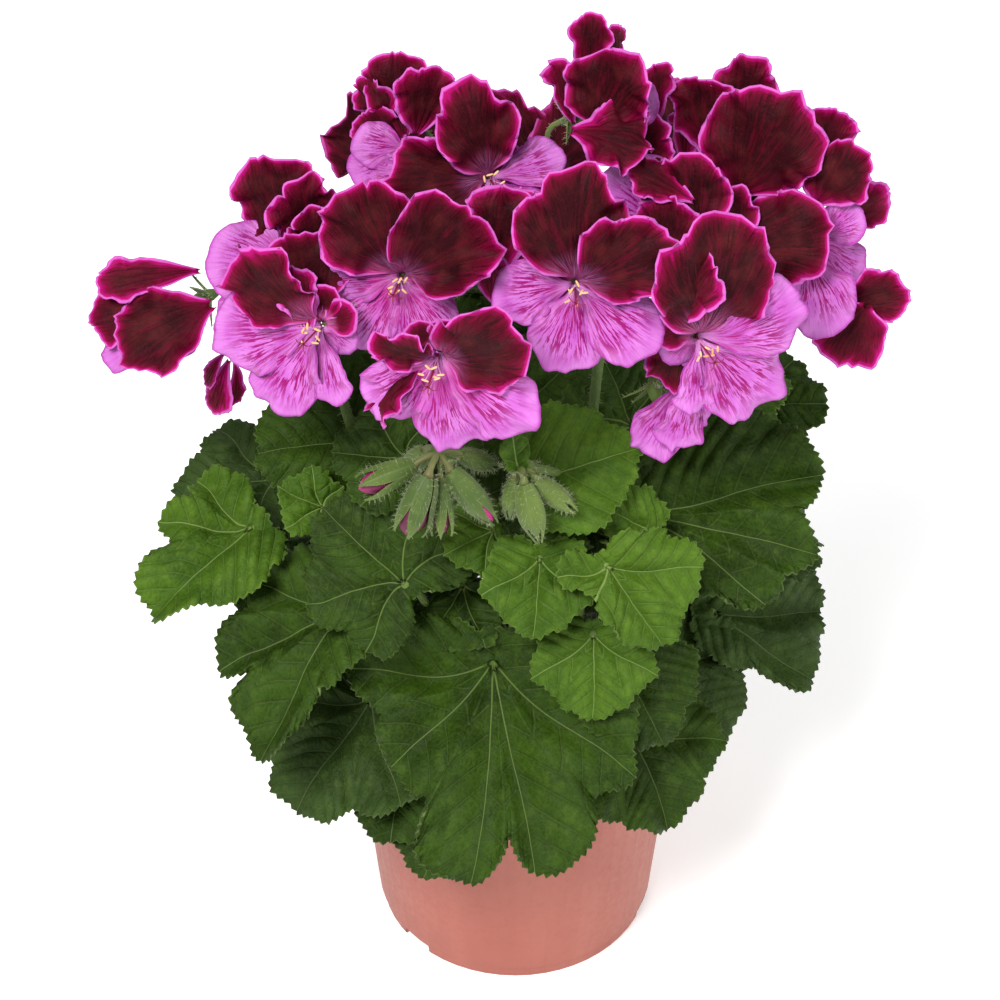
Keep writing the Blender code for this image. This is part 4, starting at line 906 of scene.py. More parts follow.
# ---------------------------------------------------------------- petals and flowers
def make_petal(B, frame_, kind, a, length, half, stand, curl=-20, ruffle=1.0, mats=None, deep=0.0, seed=1.0, cup=.10, twist=0.0, claw=58, layer=0.0, first=0.0, nr=27, nt=45):
    """One petal: a claw that widens into a nearly round blade, its margin gathered into waves.
    a is its angle clockwise round the flower, half the angle that its blade spans to each side of its middle."""
    pos, n, u, rr_ = frame_
    rho = first+(1-first)*np.linspace(0, 1, nr)**.85
    th = np.sin(np.linspace(-1, 1, nt)*math.pi/2*.92)/math.sin(math.pi/2*.92)
    RR, TT = np.meshgrid(rho, th, indexing='ij')
    up = kind == 'U'
    hr = math.radians(half)
    S = math.sin(hr)
    c, R = 1/(1+S), S/(1+S)
    M0 = c*np.cos(hr*TT)+np.sqrt(np.maximum(R*R-(c*np.sin(hr*TT))**2, 0))
    psi0 = np.arctan2(M0*np.sin(hr*TT), M0*np.cos(hr*TT)-c)
    k = 1+.024*np.sin(psi0*2+seed*3.1)+.026*np.sin(psi0*3+seed*2.3)+.016*np.sin(psi0*5+seed*1.7)+.012*np.sin(psi0*8+seed)
    k = k+.016*np.sin(psi0*13+seed*5)+.012*np.sin(psi0*23+seed) if up else 1+(k-1)*.45+.004*np.sin(psi0*17+seed)
    k = 1+(k-1)*min(1.0, R/.44)**1.5
    M = M0*k
    s = RR*length*M
    open_ = .58+.42*smooth(.0, .40, s/length)
    ang = np.radians(a)+hr*TT*open_+math.radians(twist)*s/length
    q = np.linspace(0, 1.3, 90)
    tilt = np.radians(stand)+np.radians(claw-stand)*np.exp(-(q/.20)**2)+np.radians(curl)*q**2.2
    dq = q[1]-q[0]
    rad = np.r_[0, np.cumsum(np.cos(tilt[:-1]))]*dq
    hei = np.r_[0, np.cumsum(np.sin(tilt[:-1]))]*dq
    f = s/length
    r = np.interp(f, q, rad)*length+.9
    z = np.interp(f, q, hei)*length
    tl = np.interp(f, q, tilt)
    X, Y = s*np.sin(hr*TT), s*np.cos(hr*TT)
    sx, sy = X/k, Y/k
    d_disc = R*length-np.hypot(sx, sy-c*length)
    d_side = s/k*np.sin(hr*(1-np.abs(TT)))
    edge = np.where(s/k*np.cos(hr*(1-np.abs(TT))) < c*math.cos(hr)*length, d_side, d_disc)
    edge = np.clip(edge, 0, None)
    # dished or domed across, waved along the margin, and gathered
    psi = np.arctan2(sx, sy-c*length)
    m = 1-np.clip(edge/(R*length), 0, 1)
    e = smooth(.22, 1.0, m)*smooth(.12, .45, f)
    k1, k2 = (5, 11) if up else (4, 9)
    ph1, ph2 = seed*1.3, seed*2.9
    amp = (1.0 if up else .62)*ruffle*length/38*min(1.0, R/.42)
    wave = amp*(2.5*e**1.2*np.sin(k1*psi+ph1+.5*np.sin(2*psi+seed))+1.5*e**2*np.sin(k2*psi+ph2+.8*np.sin(3*psi+ph1))+(.50 if up else .22)*e**3*np.sin(23*psi+seed))
    wave = wave+amp*1.9*smooth(.25, .8, f)*np.sin(X/length*4.6+seed*.7)*np.cos(Y/length*3.1+seed*1.9)
    ridge = .22*np.cos(TT*math.pi*6)*smooth(.05, .3, f)*(1-smooth(.5, .9, f))
    off = cup*length*(X/length)**2*2.2+wave+ridge+layer*smooth(.08, .35, f)
    r2 = r-np.sin(tl)*off
    z2 = z+np.cos(tl)*off
    ang = ang+math.radians(2.6*ruffle)*e*np.cos(k1*psi+ph1+.6)*(1 if up else .5)
    P = pos+r2[..., None]*(np.cos(ang)[..., None]*u+np.sin(ang)[..., None]*rr_)+z2[..., None]*n
    N = grid_normals(P, False)
    face = (np.cos(tl)[..., None]*n-np.sin(tl)[..., None]*(np.cos(ang)[..., None]*u+np.sin(ang)[..., None]*rr_))
    if np.mean(np.sum(N*face, -1)) < 0:
        N = -N
    N[0] = N[1]
    edge = np.maximum(edge, 4.0*(1-np.clip(f/.16, 0, 1)))
    flat = np.stack([X, Y, np.full_like(s, seed*9.0)], -1)
    t = .30*(1-.45*smooth(.6, 1, m))
    g = grid(nr, nt, False)
    i, j = nr//2, nt//2
    ccw = np.dot(np.cross(P[i, j+1]-P[i, j], P[i-1, j]-P[i, j]), N[i, j]) > 0
    ff = RR*M0
    at = dict(pr=ff.ravel(), pt=(hr*TT*1.2).ravel(), pe=edge.ravel(), pf=flat.reshape(-1, 3))
    front, back = mats
    first = B.n
    B.add((P+N*(t/2)[..., None]).reshape(-1, 3), [g[:, ::-1] if ccw else g], front, ps=seed*3.7, pd=deep, **at)
    B.add((P-N*(t/2)[..., None]).reshape(-1, 3), [g if ccw else g[:, ::-1]], back, ps=seed*3.7, pd=deep, **at)
    cc = nr*nt
    loop = np.r_[np.arange(nt), np.arange(1, nr)*nt+nt-1, (nr-1)*nt+np.arange(nt-2, -1, -1), np.arange(nr-2, 0, -1)*nt]
    nx = np.roll(loop, -1)
    strip = np.stack([first+loop, first+nx, first+cc+nx, first+cc+loop], 1)
    B.f.append(strip if ccw else strip[:, ::-1])
    B.m.append(np.full(len(strip), B.mat(front)))
    return P

def sepal(B, base, out, along, length, width, mat, rng, hair, curl=.25, seed=0.0, nr=10, nt=7):
    """A pointed, boat-shaped green leaf of the calyx, with hairs on its back."""
    out, along = unit(out), unit(along)
    side = np.cross(along, out)
    s = np.linspace(0, 1, nr)
    t = np.linspace(-1, 1, nt)
    S, T = np.meshgrid(s, t, indexing='ij')
    w = width*np.clip(np.sin(math.pi*np.clip(S*.86+.13, 0, 1))**.8, 0, 1)*(1-S**5)+.12*width*(1-S)
    bend = curl*length*S**2
    P = base+(S*length)[..., None]*along+(w*T)[..., None]*side+(bend-.55*w*T**2)[..., None]*out
    N = grid_normals(P, False)
    if np.mean(N@out) < 0:
        N = -N
    g = grid(nr, nt, False)
    st = np.clip(1-np.abs(T)*1.5, 0, 1)*.35+.65*smooth(.7, 1, np.abs(T))
    ccw = np.dot(np.cross(P[2, 1]-P[2, 0], P[1, 0]-P[2, 0]), N[2, 0]) > 0
    first = B.n
    B.add((P+N*.18).reshape(-1, 3), [g[:, ::-1] if ccw else g], mat, st=st.ravel())
    B.add((P-N*.18).reshape(-1, 3), [g if ccw else g[:, ::-1]], mat, st=st.ravel()*.5)
    c = nr*nt
    loop = np.r_[np.arange(nt), np.arange(1, nr)*nt+nt-1, (nr-1)*nt+np.arange(nt-2, -1, -1), np.arange(nr-2, 0, -1)*nt]
    nx = np.roll(loop, -1)
    strip = np.stack([first+loop, first+nx, first+c+nx, first+c+loop], 1)
    B.f.append(strip if ccw else strip[:, ::-1])
    B.m.append(np.full(len(strip), B.mat(mat)))
    if hair:
        m = hair
        i, j = rng.integers(1, nr-1, m), rng.integers(0, nt, m)
        d = N[i, j]+rng.normal(size=(m, 3))*.35+along*.25
        d /= np.linalg.norm(d, axis=1)[:, None]
        add_hairs(B, P[i, j]+N[i, j]*.15, d, rng.uniform(.9, 2.0, m), HAIR, rng, r=.04)
    return P

def spread(h, up=False):
    return min(66, h*1.35+8) if up else h*1.05

def make_flower(fl, name):
    rng = np.random.default_rng(int(fl['seed'])*31+7)
    pos, n, u, rr_ = fr = flower_frame(fl)
    B = Build()
    nu = nl = 0
    for i, p in enumerate(fl['petals']):
        kind, a, length, half, stand = p[:5]
        ex = p[5] if len(p) > 5 else {}
        up = kind == 'U'
        lay = .7+1.9*nu if up else -.6-1.5*nl
        nu, nl = nu+up, nl+(not up)
        make_petal(B, fr, kind, a, length, spread(half, up), stand, seed=fl['seed']*1.7+i*2.31, deep=fl.get('deep', .15),
                   ruffle=ex.get('ruffle', fl.get('frill', 1.0)), curl=ex.get('curl', -26 if up else -30), cup=ex.get('cup', .05 if up else -.13), layer=ex.get('layer', lay),
                   twist=ex.get('twist', 0), claw=ex.get('claw', 58), mats=(DARK, DARK_BACK) if up else (PINK, PINK_BACK))
    for i, p in enumerate(fl.get('free', ())):
        # a petal that lies apart from the flower's own plane: where it leaves, where it ends, and which way it faces
        kind, at, tip, az, el, half = p[:6]
        ex = p[6] if len(p) > 6 else {}
        up = kind == 'U'
        at, tip = V(*at), V(*tip)
        along = unit(tip-at)
        hint = facing(az, el)
        nn = unit(hint-along*np.dot(hint, along))
        make_petal(B, (at, nn, along, np.cross(along, nn)), kind, 0, np.linalg.norm(tip-at), half, ex.get('stand', 0), seed=fl['seed']*1.3+i*1.71+5, deep=-1.0 if up else .3, first=.12,
                   ruffle=ex.get('ruffle', fl.get('frill', 1.0)), curl=ex.get('curl', -14), cup=ex.get('cup', .05), twist=0, claw=ex.get('claw', 24), mats=(DARK, DARK_BACK) if up else (PINK, PINK_BACK))
    if fl['petals']:
        # the overlapped feet of the petals, which close the throat from behind
        for i, a in enumerate((0, 60, -60, 120, 180, -120)):
            up = abs(a) < 90
            make_petal(B, fr, 'U' if up else 'L', a+8, 13, 58, 8 if up else -14, seed=fl['seed']+i, deep=.15 if up else .9, ruffle=.12, curl=0, cup=0, claw=50, layer=-2.2, nr=9, nt=13, mats=(DARK, DARK_BACK) if up else (PINK, PINK_BACK))
    if fl.get('stamens', True):
        # filaments joined in a column, each with its anther, and the longer style with five curled stigmas
        lean = unit(n-u*.22)
        for i in range(7):
            a = i*2*math.pi/7+rng.uniform(-.3, .3)
            d = unit(lean+(math.cos(a)*u+math.sin(a)*rr_)*rng.uniform(.16, .36))
            ln = rng.uniform(8.5, 12.5)
            path = bezier(pos+n*1.0, pos+lean*ln*.4, pos+d*ln*.75, pos+d*ln+u*.8, 8)
            add_tube(B, path, np.linspace(.30, .16, 8), 5, FILAMENT)
            e = path[-1]
            w = unit(np.cross(d, rng.normal(size=3)))
            add_tube(B, [e-w*1.15, e-w*.85, e, e+w*.85, e+w*1.15], [.08, .32, .38, .32, .08], 7, ANTHER)
        tip = pos+lean*14.5
        add_tube(B, bezier(pos+n, pos+lean*5, pos+lean*10, tip, 8), np.linspace(.42, .28, 8), 6, STYLE)
        for i in range(5):
            a = i*2*math.pi/5+.3
            d = math.cos(a)*u+math.sin(a)*rr_
            add_tube(B, bezier(tip-lean*.4, tip+lean*1.1+d*.6, tip+lean*1.5+d*2.1, tip+lean*.3+d*2.9, 7), np.linspace(.25, .12, 7), 5, STYLE)
    ob = B.make(name+'_petals')
    # calyx, spur and stalk
    G = Build()
    neck = fl.get('neck', 11.0)
    start = flower_start(fl)
    path = pedicel_path(fl, start, 14)
    path = np.vstack([path, pos-n*(neck-3)])
    add_tube(G, path, np.r_[np.linspace(1.0, .85, 13), 1.0, 1.5], 9, PEDICEL)
    add_tube(G, [pos-n*neck, pos-n*(neck-2.5), pos-n*(neck-5.5), pos-n*3.2, pos-n*1.2], [.9, 1.9, 2.4, 2.0, 1.0], 12, CALYX, st=.2)
    flare = fl.get('flare', 2.0)
    for i in range(5):
        a = i*2*math.pi/5+fl['seed']
        d = math.cos(a)*u+math.sin(a)*rr_
        sepal(G, pos-n*(neck-3.2)+d*1.2, d, n*.9+d*flare, fl.get('sepals', 10.5), 2.5, CALYX, rng, 26, curl=.12)
    m = 90
    kk = rng.integers(0, len(path)-2, m)
    f = rng.random(m)[:, None]
    p = path[kk]*(1-f)+path[kk+1]*f
    tg = path[kk+1]-path[kk]
    tg /= np.linalg.norm(tg, axis=1)[:, None]
    dd = rng.normal(size=(m, 3))
    dd -= tg*np.sum(dd*tg, 1)[:, None]
    dd /= np.linalg.norm(dd, axis=1)[:, None]
    add_hairs(G, p+dd*.85, dd, rng.uniform(.7, 1.4, m), HAIR, rng, r=.03)
    og = G.make(name+'_calyx')
    return ob, og

def flower_start(fl):
    k = knot(fl['on'])
    d = unit(V(*fl['pos'])-facing(fl['az'], fl['el'])*11-k+V(0, 0, 6))
    return k+d*(UMBEL_R-.6)

def knot(n):
    path = spline([V(*SHOOTS[n][-1])]+[V(*p) for p in STALKS[n]], 6)
    return path[-1]+unit(path[-1]-path[-2])*2.2

# ---------------------------------------------------------------- how each leaf and flower looks
OUT_HALF = [(-150, .18), (-104, .44), (-80, .68), (-54, .94), (-28, .92), (0, 1.0), (14, .84), (32, .58), (60, .30), (90, .36), (116, .54), (138, .52), (156, .3)]
OUT_NARROW = [(-146, .18), (-112, .46), (-82, .50), (-48, .76), (-24, .84), (0, 1.0), (24, .84), (46, .76), (80, .52), (110, .46), (146, .18)]
OUT_LANCE = [(-150, .06), (-90, .13), (-45, .24), (-16, .58), (0, 1.0), (16, .58), (45, .24), (90, .13), (150, .06)]
OUT_BROAD = [(-152, .20), (-128, .44), (-104, .60), (-78, .62), (-56, .86), (-30, .86), (0, 1.0), (30, .86), (56, .86), (78, .64), (104, .60), (128, .44), (152, .20)]

LOOK = {
    'front': dict(tone=-.15, puff=1.15),
    'left_lower': dict(tone=-.05),
    'left_inner': dict(tone=.05),
    'right_fan': dict(tone=.05, puff=1.1),
    'young_bright': dict(tone=.30, base=(29, -72, 226), tip=(48, -86, 203), out=OUT_HALF, az=8, el=48, spacing=.15, fold=.20, puff=1.2),
    'centre_small': dict(tone=-.1, base=(7, -66, 224), tip=(6, -84, 206), out=OUT_BROAD, el=48, fold=.26, spacing=.16),
    'right_fold': dict(tone=.15, base=(25, -68, 192), tip=(26, -86, 170), out=OUT_BROAD, fold=.10, spacing=.15, az=-6),
    'right_fold_low': dict(tone=.0, base=(34, -58, 174), tip=(50, -76, 147), out=OUT_NARROW, fold=.24, az=8),
    'upper_mid': dict(tone=.05, base=(6, -56, 249), tip=(39, -50, 258), out=OUT_NARROW, fold=.16, puff=.55, spacing=.19, az=4, el=44),
    'centre_dark': dict(tone=-.15),
    'left_skirt': dict(tone=.0),
    'right_skirt': dict(tone=.12),
    'right_lower': dict(tone=.12),
    'right_outer': dict(tone=.05),
}

SMALL = [
    L('right_small', (43, -54, 226), (28, -58, 239), 8, 50, 'C', 200, out=OUT_NARROW, seed=31, young=True),
    L('tucked_left', (-8, -58, 229), (-23, -66, 227), -4, 42, 'B', 192, out=OUT_YOUNG, seed=32, young=True),
    L('tucked_low', (1, -40, 161), (10, -54, 157), 6, 46, 'C', 140, out=OUT_ROUND, seed=33, young=True),
    L('tucked_mid', (8, -60, 216), (21, -56, 228), 4, 50, 'C', 196, out=OUT_NARROW, seed=39, young=True),
    L('tucked_pair', (-6, -52, 216), (-2, -62, 228), 4, 46, 'B', 190, out=OUT_BROAD, seed=40),
    L('bract', (0, -68, 264), (-3, -66, 283), 2, 40, 'B', 204, out=OUT_LANCE, seed=41, young=True, puff=.3, frill=0, teeth=.2),
    # the deep leaves sit inside the plant; their negative tone darkens them as painted shade
    L('deep_right', (38, -22, 243), (28, -16, 272), 14, 34, 'D', 190, out=OUT_ROUND, seed=35, tone=-.3),
    L('deep_mid', (2, -14, 246), (18, -20, 268), -6, 34, 'E', 190, out=OUT_ROUND, seed=36, tone=-.4),
    L('deep_left', (-26, -12, 240), (-34, -16, 268), -10, 36, 'A', 188, out=OUT_ROUND, seed=37, tone=-.3),
    L('deep_back', (14, 34, 236), (20, 50, 268), 10, 40, 'E', 200, out=OUT_ROUND, seed=38, tone=-.4),
    L('deep_crown', (-6, -34, 203), (-10, -26, 243), -4, 34, 'B', 170, out=OUT_ROUND, seed=42, tone=-.4),
    L('deep_heart', (18, -34, 208), (25, -26, 246), 6, 34, 'C', 172, out=OUT_ROUND, seed=43, tone=-.4),
    L('deep_inner', (-22, -40, 216), (-26, -34, 248), -6, 34, 'B', 176, out=OUT_ROUND, seed=44, tone=-.3),
    L('far_side_right', (62, 30, 190), (96, 52, 172), 112, 50, 'D', 172, out=OUT_BROAD, seed=45),
    L('far_side_left', (-66, 30, 192), (-98, 48, 174), -112, 50, 'A', 170, out=OUT_BROAD, seed=46),
    L('far_back_right', (38, 46, 228), (60, 80, 218), 150, 50, 'E', 190, out=OUT_ROUND, seed=47),
    L('far_back_left', (-34, 46, 230), (-58, 78, 220), -146, 50, 'E', 186, out=OUT_ROUND, seed=48),
    L('far_back_mid', (2, 64, 234), (0, 100, 226), 180, 48, 'E', 196, out=OUT_BROAD, seed=49),
    L('side_right', (60, 8, 236), (92, 18, 238), 84, 52, 'D', 194, out=OUT_BROAD, seed=50, young=True),
    L('inner_right', (22, 20, 244), (46, 36, 250), 130, 44, 'E', 200, out=OUT_ROUND, seed=51),
    L('inner_left', (-28, 18, 242), (-54, 30, 246), -130, 44, 'E', 198, out=OUT_ROUND, seed=52),
    # painted shade: this leaf's negative tone darkens it where it fills a gap deep in the plant
    L('deep_gap', (24, -12, 149), (27, -32, 169), 4, 44, 'C', 130, out=OUT_ROUND, seed=53, tone=-.3),
    L('tucked_far', (-64, -44, 227), (-78, -44, 234), -18, 44, 'A', 182, out=OUT_YOUNG, seed=34, young=True),
]

# the hanging buds: their knot, and each bud's foot, tip, greatest radius, and how far its petals show
HANG = {
    'front_buds': dict(knot=(-25, -71, 272), buds=[
        ((-33, -74, 270), (-50, -79, 265), 4.6, .75), ((-28, -80, 271), (-35, -85, 252), 5.4, 1.0),
        ((-24, -75, 266), (-24, -81, 247), 3.4, .6), ((-21, -75, 269), (-7, -79, 250), 4.4, .25),
        ((-29, -64, 268), (-37, -56, 252), 3.6, .2), ((-18, -66, 268), (-6, -58, 256), 3.4, 0)]),
    'middle_buds': dict(knot=(1, -66, 263), buds=[
        ((2, -72, 261), (7, -78, 241), 4.6, 0), ((6, -68, 259), (19, -71, 248), 3.6, 0), ((-1, -65, 257), (-3, -69, 243), 3.2, 0)]),
}

# petals: (upper or lower, angle clockwise from the top as seen facing the flower, length, half width in degrees, how far it stands forward)
BLOOM = {
    'centre': dict(deep=.25, petals=[('U', -14, 43, 38, 26), ('U', 47, 38, 36, 30), ('L', 124, 34, 34, 14), ('L', 180, 31, 46, 6), ('L', -106, 28, 38, 16)]),
    # deep sets how far the lower petals turn hot magenta near their base; the high values on centre_left and centre_low
    # are partly painted shade
    'centre_left': dict(deep=.9, petals=[('U', -42, 38, 38, 24), ('U', 30, 44, 38, 32, dict(layer=3.6)), ('L', -96, 26, 46, 16), ('L', 208, 31, 42, 10), ('L', 136, 29, 46, 14)]),
    'left_low': dict(free=[
        ('U', (-64, -60, 306), (-70, -54, 332), 24, 40, 20, dict(ruffle=0.9)),
        ('U', (-61, -50, 311), (-68, -42, 337), 0, 40, 51, dict(ruffle=0.9)),
    ], petals=[('U', -42, 36, 30, 30), ('L', -97, 37, 40, 12), ('L', -146, 36, 34, 8), ('L', 168, 28, 18, 14)]),
    'centre_low': dict(deep=.9, free=[
        ('U', (-25, -82, 322), (-46, -82, 299), -40, 30, 20, dict(ruffle=1.4)),
    ], petals=[('U', 46, 36, 42, 22), ('U', -60, 24, 30, 34), ('L', 108, 38, 36, 16), ('L', 158, 38, 32, 4), ('L', -150, 34, 38, 8)]),
    'top_left': dict(petals=[('U', -64, 36, 36, 26), ('U', 8, 36, 44, 34), ('L', 98, 26, 28, 14), ('L', 160, 26, 30, 10), ('L', -140, 24, 28, 14)]),
    'right': dict(free=[
        ('U', (53, -54, 325), (48, -60, 289), -20, 36, 23, dict(ruffle=0.7)),
        ('U', (46, -68, 319), (54, -70, 350), -10, 40, 32, dict(ruffle=0.9, cup=0.1)),
    ], petals=[('U', 20, 47, 42, 16), ('L', 88, 36, 40, 14, dict(layer=1.2)), ('L', 156, 40, 36, 4), ('L', -160, 28, 20, 12)]),
    'far_left': dict(petals=[], stamens=False, free=[
        ('U', (-97, -14, 301), (-134, -18, 299), -20, 55, 15, dict(ruffle=0.6, cup=0.12)),
        ('U', (-97, -20, 295), (-137, -22, 286), -25, 40, 17, dict(ruffle=0.8, cup=-0.15)),
        ('U', (-93, -26, 299), (-127, -34, 284), -20, 42, 36, dict(ruffle=0.8, cup=0.06)),
        ('L', (-103, -22, 288), (-133, -28, 275), -50, 20, 13, dict(ruffle=0.9)),
    ]),
    'left_bud': dict(petals=[], stamens=False, free=[
        ('U', (-93, -12, 267), (-100, -18, 246), -30, 30, 19, dict(ruffle=0.3, cup=-0.4)),
        ('U', (-94, -8, 263), (-94, -10, 243), 50, 20, 16, dict(ruffle=0.3)),
        ('U', (-94, -16, 271), (-102, -18, 258), -60, 20, 20, dict(ruffle=0.3)),
    ]),
    'top': dict(petals=[], stamens=False, free=[
        ('U', (23, 2, 351), (23, 4, 386), -20, 28, 14, dict(ruffle=0.5, cup=0.34)),
        ('U', (26, 8, 352), (30, 10, 378), 50, 15, 15, dict(ruffle=0.7, cup=-0.3)),
        ('U', (24, -6, 348), (31, -8, 380), -6, 44, 49, dict(ruffle=0.9, cup=0.08)),
        ('U', (19, 2, 344), (13, 2, 371), -40, 30, 18, dict(ruffle=1.0)),
        ('U', (13, -14, 355), (41, -20, 354), 0, 64, 38, dict(ruffle=1.3, curl=-30)),
        ('U', (40, 10, 331), (44, 12, 363), 30, 30, 13, dict(ruffle=0.8)),
        ('U', (31, 0, 331), (45, 0, 350), 10, 40, 52, dict(ruffle=1.0)),
        ('L', (28, 4, 344), (42, 4, 359), -6, 40, 38, dict(ruffle=0.8)),
    ]),
    'top_right': dict(petals=[], stamens=False, free=[
        ('U', (63, 12, 322), (57, 12, 358), -20, 30, 24, dict(ruffle=1.0)),
        ('U', (69, 16, 327), (73, 16, 363), 5, 34, 23, dict(ruffle=1.0)),
        ('U', (69, -2, 320), (83, -4, 363), 6, 46, 49, dict(ruffle=0.9, cup=-0.05)),
        ('U', (69, -12, 308), (98, -20, 322), 14, 44, 64, dict(ruffle=0.8, cup=0.03)),
        ('U', (66, -10, 308), (67, -10, 331), -10, 42, 45, dict(ruffle=0.8)),
        ('U', (71, -4, 302), (90, -2, 325), 10, 44, 58, dict(ruffle=0.7)),
        ('U', (57, -10, 328), (62, -14, 302), 0, 42, 36, dict(ruffle=0.7)),
        ('U', (57, 18, 313), (53, 18, 342), -30, 24, 11, dict(ruffle=1.0)),
    ]),
    'far_right_top': dict(petals=[], stamens=False, free=[
        ('U', (93, 4, 324), (100, 6, 350), 25, 40, 33, dict(ruffle=0.9)),
        ('U', (93, -6, 320), (106, -6, 344), 26, 46, 48, dict(ruffle=0.9)),
        ('U', (103, 2, 307), (115, 2, 324), 36, 34, 66, dict(ruffle=0.9)),
        ('L', (97, -8, 311), (109, -8, 320), 30, 40, 66, dict(ruffle=0.8)),
        ('L', (91, -10, 307), (98, -36, 292), 20, 42, 42, dict(ruffle=0.8)),
        ('L', (93, -4, 307), (110, -8, 291), 28, 36, 47, dict(ruffle=0.9)),
    ]),
    'far_right_low': dict(petals=[], stamens=False, free=[
        ('U', (101, -14, 285), (125, -14, 294), 20, 50, 33, dict(ruffle=0.7)),
        ('U', (113, -18, 293), (101, -30, 276), 20, 40, 66, dict(ruffle=0.7, cup=0.08)),
    ]),
    'top_back_left': dict(petals=[], stamens=False, free=[
        ('U', (-35, 8, 335), (-39, 10, 368), -26, 34, 32, dict(ruffle=0.8)),
        ('U', (-33, -2, 343), (-27, -2, 371), 14, 36, 32, dict(ruffle=0.8)),
        ('U', (-38, 12, 334), (-47, 12, 358), -45, 30, 32, dict(ruffle=0.8)),
        ('U', (-36, 10, 333), (-49, 8, 347), -45, 34, 51, dict(ruffle=0.8)),
        ('L', (-34, 2, 337), (-52, 0, 341), -20, 46, 41, dict(ruffle=0.8)),
        ('L', (-33, -2, 335), (-53, -4, 333), -20, 46, 37, dict(ruffle=0.8)),
        ('L', (-33, -6, 334), (-46, -10, 328), -20, 36, 65, dict(ruffle=0.8)),
    ]),
    'inner_right': dict(petals=[], stamens=False, free=[
        ('U', (57, -18, 308), (50, -16, 348), -8, 40, 31, dict(ruffle=0.8)),
        ('U', (57, -14, 309), (57, -12, 337), 30, 30, 20, dict(ruffle=1.0)),
        ('L', (50, -12, 317), (27, -12, 337), -6, 50, 66, dict(ruffle=0.7)),
        ('U', (57, -22, 332), (34, -20, 345), -6, 66, 24, dict(ruffle=1.0)),
        ('U', (48, -28, 313), (45, -26, 339), -20, 34, 43, dict(ruffle=0.9)),
    ]),
    'inner_mid': dict(petals=[], stamens=False, free=[
        ('U', (-5, -36, 305), (-6, -30, 346), -20, 36, 20, dict(ruffle=1.1)),
        ('U', (-2, -30, 305), (-1, -24, 340), 30, 30, 14, dict(ruffle=1.2)),
        ('U', (-6, -44, 308), (-10, -44, 333), -30, 34, 21, dict(ruffle=1.2)),
        ('U', (1, -16, 311), (12, -12, 331), 10, 40, 51, dict(ruffle=1.0)),
    ]),
    'hanging_right': dict(petals=[], stamens=False, free=[
        ('L', (53, -50, 287), (41, -58, 261), -24, 30, 25, dict(ruffle=1.3)),
        ('L', (54, -56, 292), (49, -62, 267), 10, 30, 26, dict(ruffle=1.3)),
        ('L', (55, -48, 287), (57, -50, 266), 40, 30, 24, dict(ruffle=1.0)),
    ]),
    'left_top': dict(petals=[], stamens=False, free=[
        ('U', (-69, -24, 312), (-77, -22, 351), -18, 38, 35, dict(ruffle=0.9)),
        ('U', (-67, -28, 311), (-67, -34, 351), 15, 38, 22, dict(ruffle=1.0)),
        ('U', (-65, -34, 311), (-63, -38, 344), 30, 34, 23, dict(ruffle=1.2)),
        ('U', (-68, -18, 308), (-66, -18, 341), 30, 30, 13, dict(ruffle=1.0)),
        ('L', (-69, -32, 316), (-97, -34, 320), -20, 46, 66, dict(ruffle=0.8)),
        ('L', (-70, -38, 314), (-93, -42, 294), -20, 36, 32, dict(ruffle=0.8)),
    ]),
}

# some flowers hide their calyx between the petals
for n_, v_ in (('far_right_low', 4.5), ('far_right_top', 6.5), ('right', 8.0)):
    BLOOM[n_]['sepals'] = v_

WORLD = .40
LIGHTS = [
    ('key', (-.55, -1.15, 1.8), (0, 0, .2), .7, 46.0),
    ('fill', (1.5, -.7, 1.1), (0, 0, .2), 1.2, 13.0),
    ('back', (.3, 1.5, 1.5), (0, 0, .2), 1.2, 7.0),
]

# ---------------------------------------------------------------- pot, soil, shoots, buds
def lathe_rings(B, profile, sides, material, close=True, wob=0.0):
    prof = np.array(profile, float)
    a = np.arange(sides)*2*math.pi/sides
    P = np.stack([prof[:, :1]*np.sin(a), -prof[:, :1]*np.cos(a), np.repeat(prof[:, 1:2], sides, 1)], -1)
    B.add(P.reshape(-1, 3), [grid(len(prof), sides, True)], material)
    return P

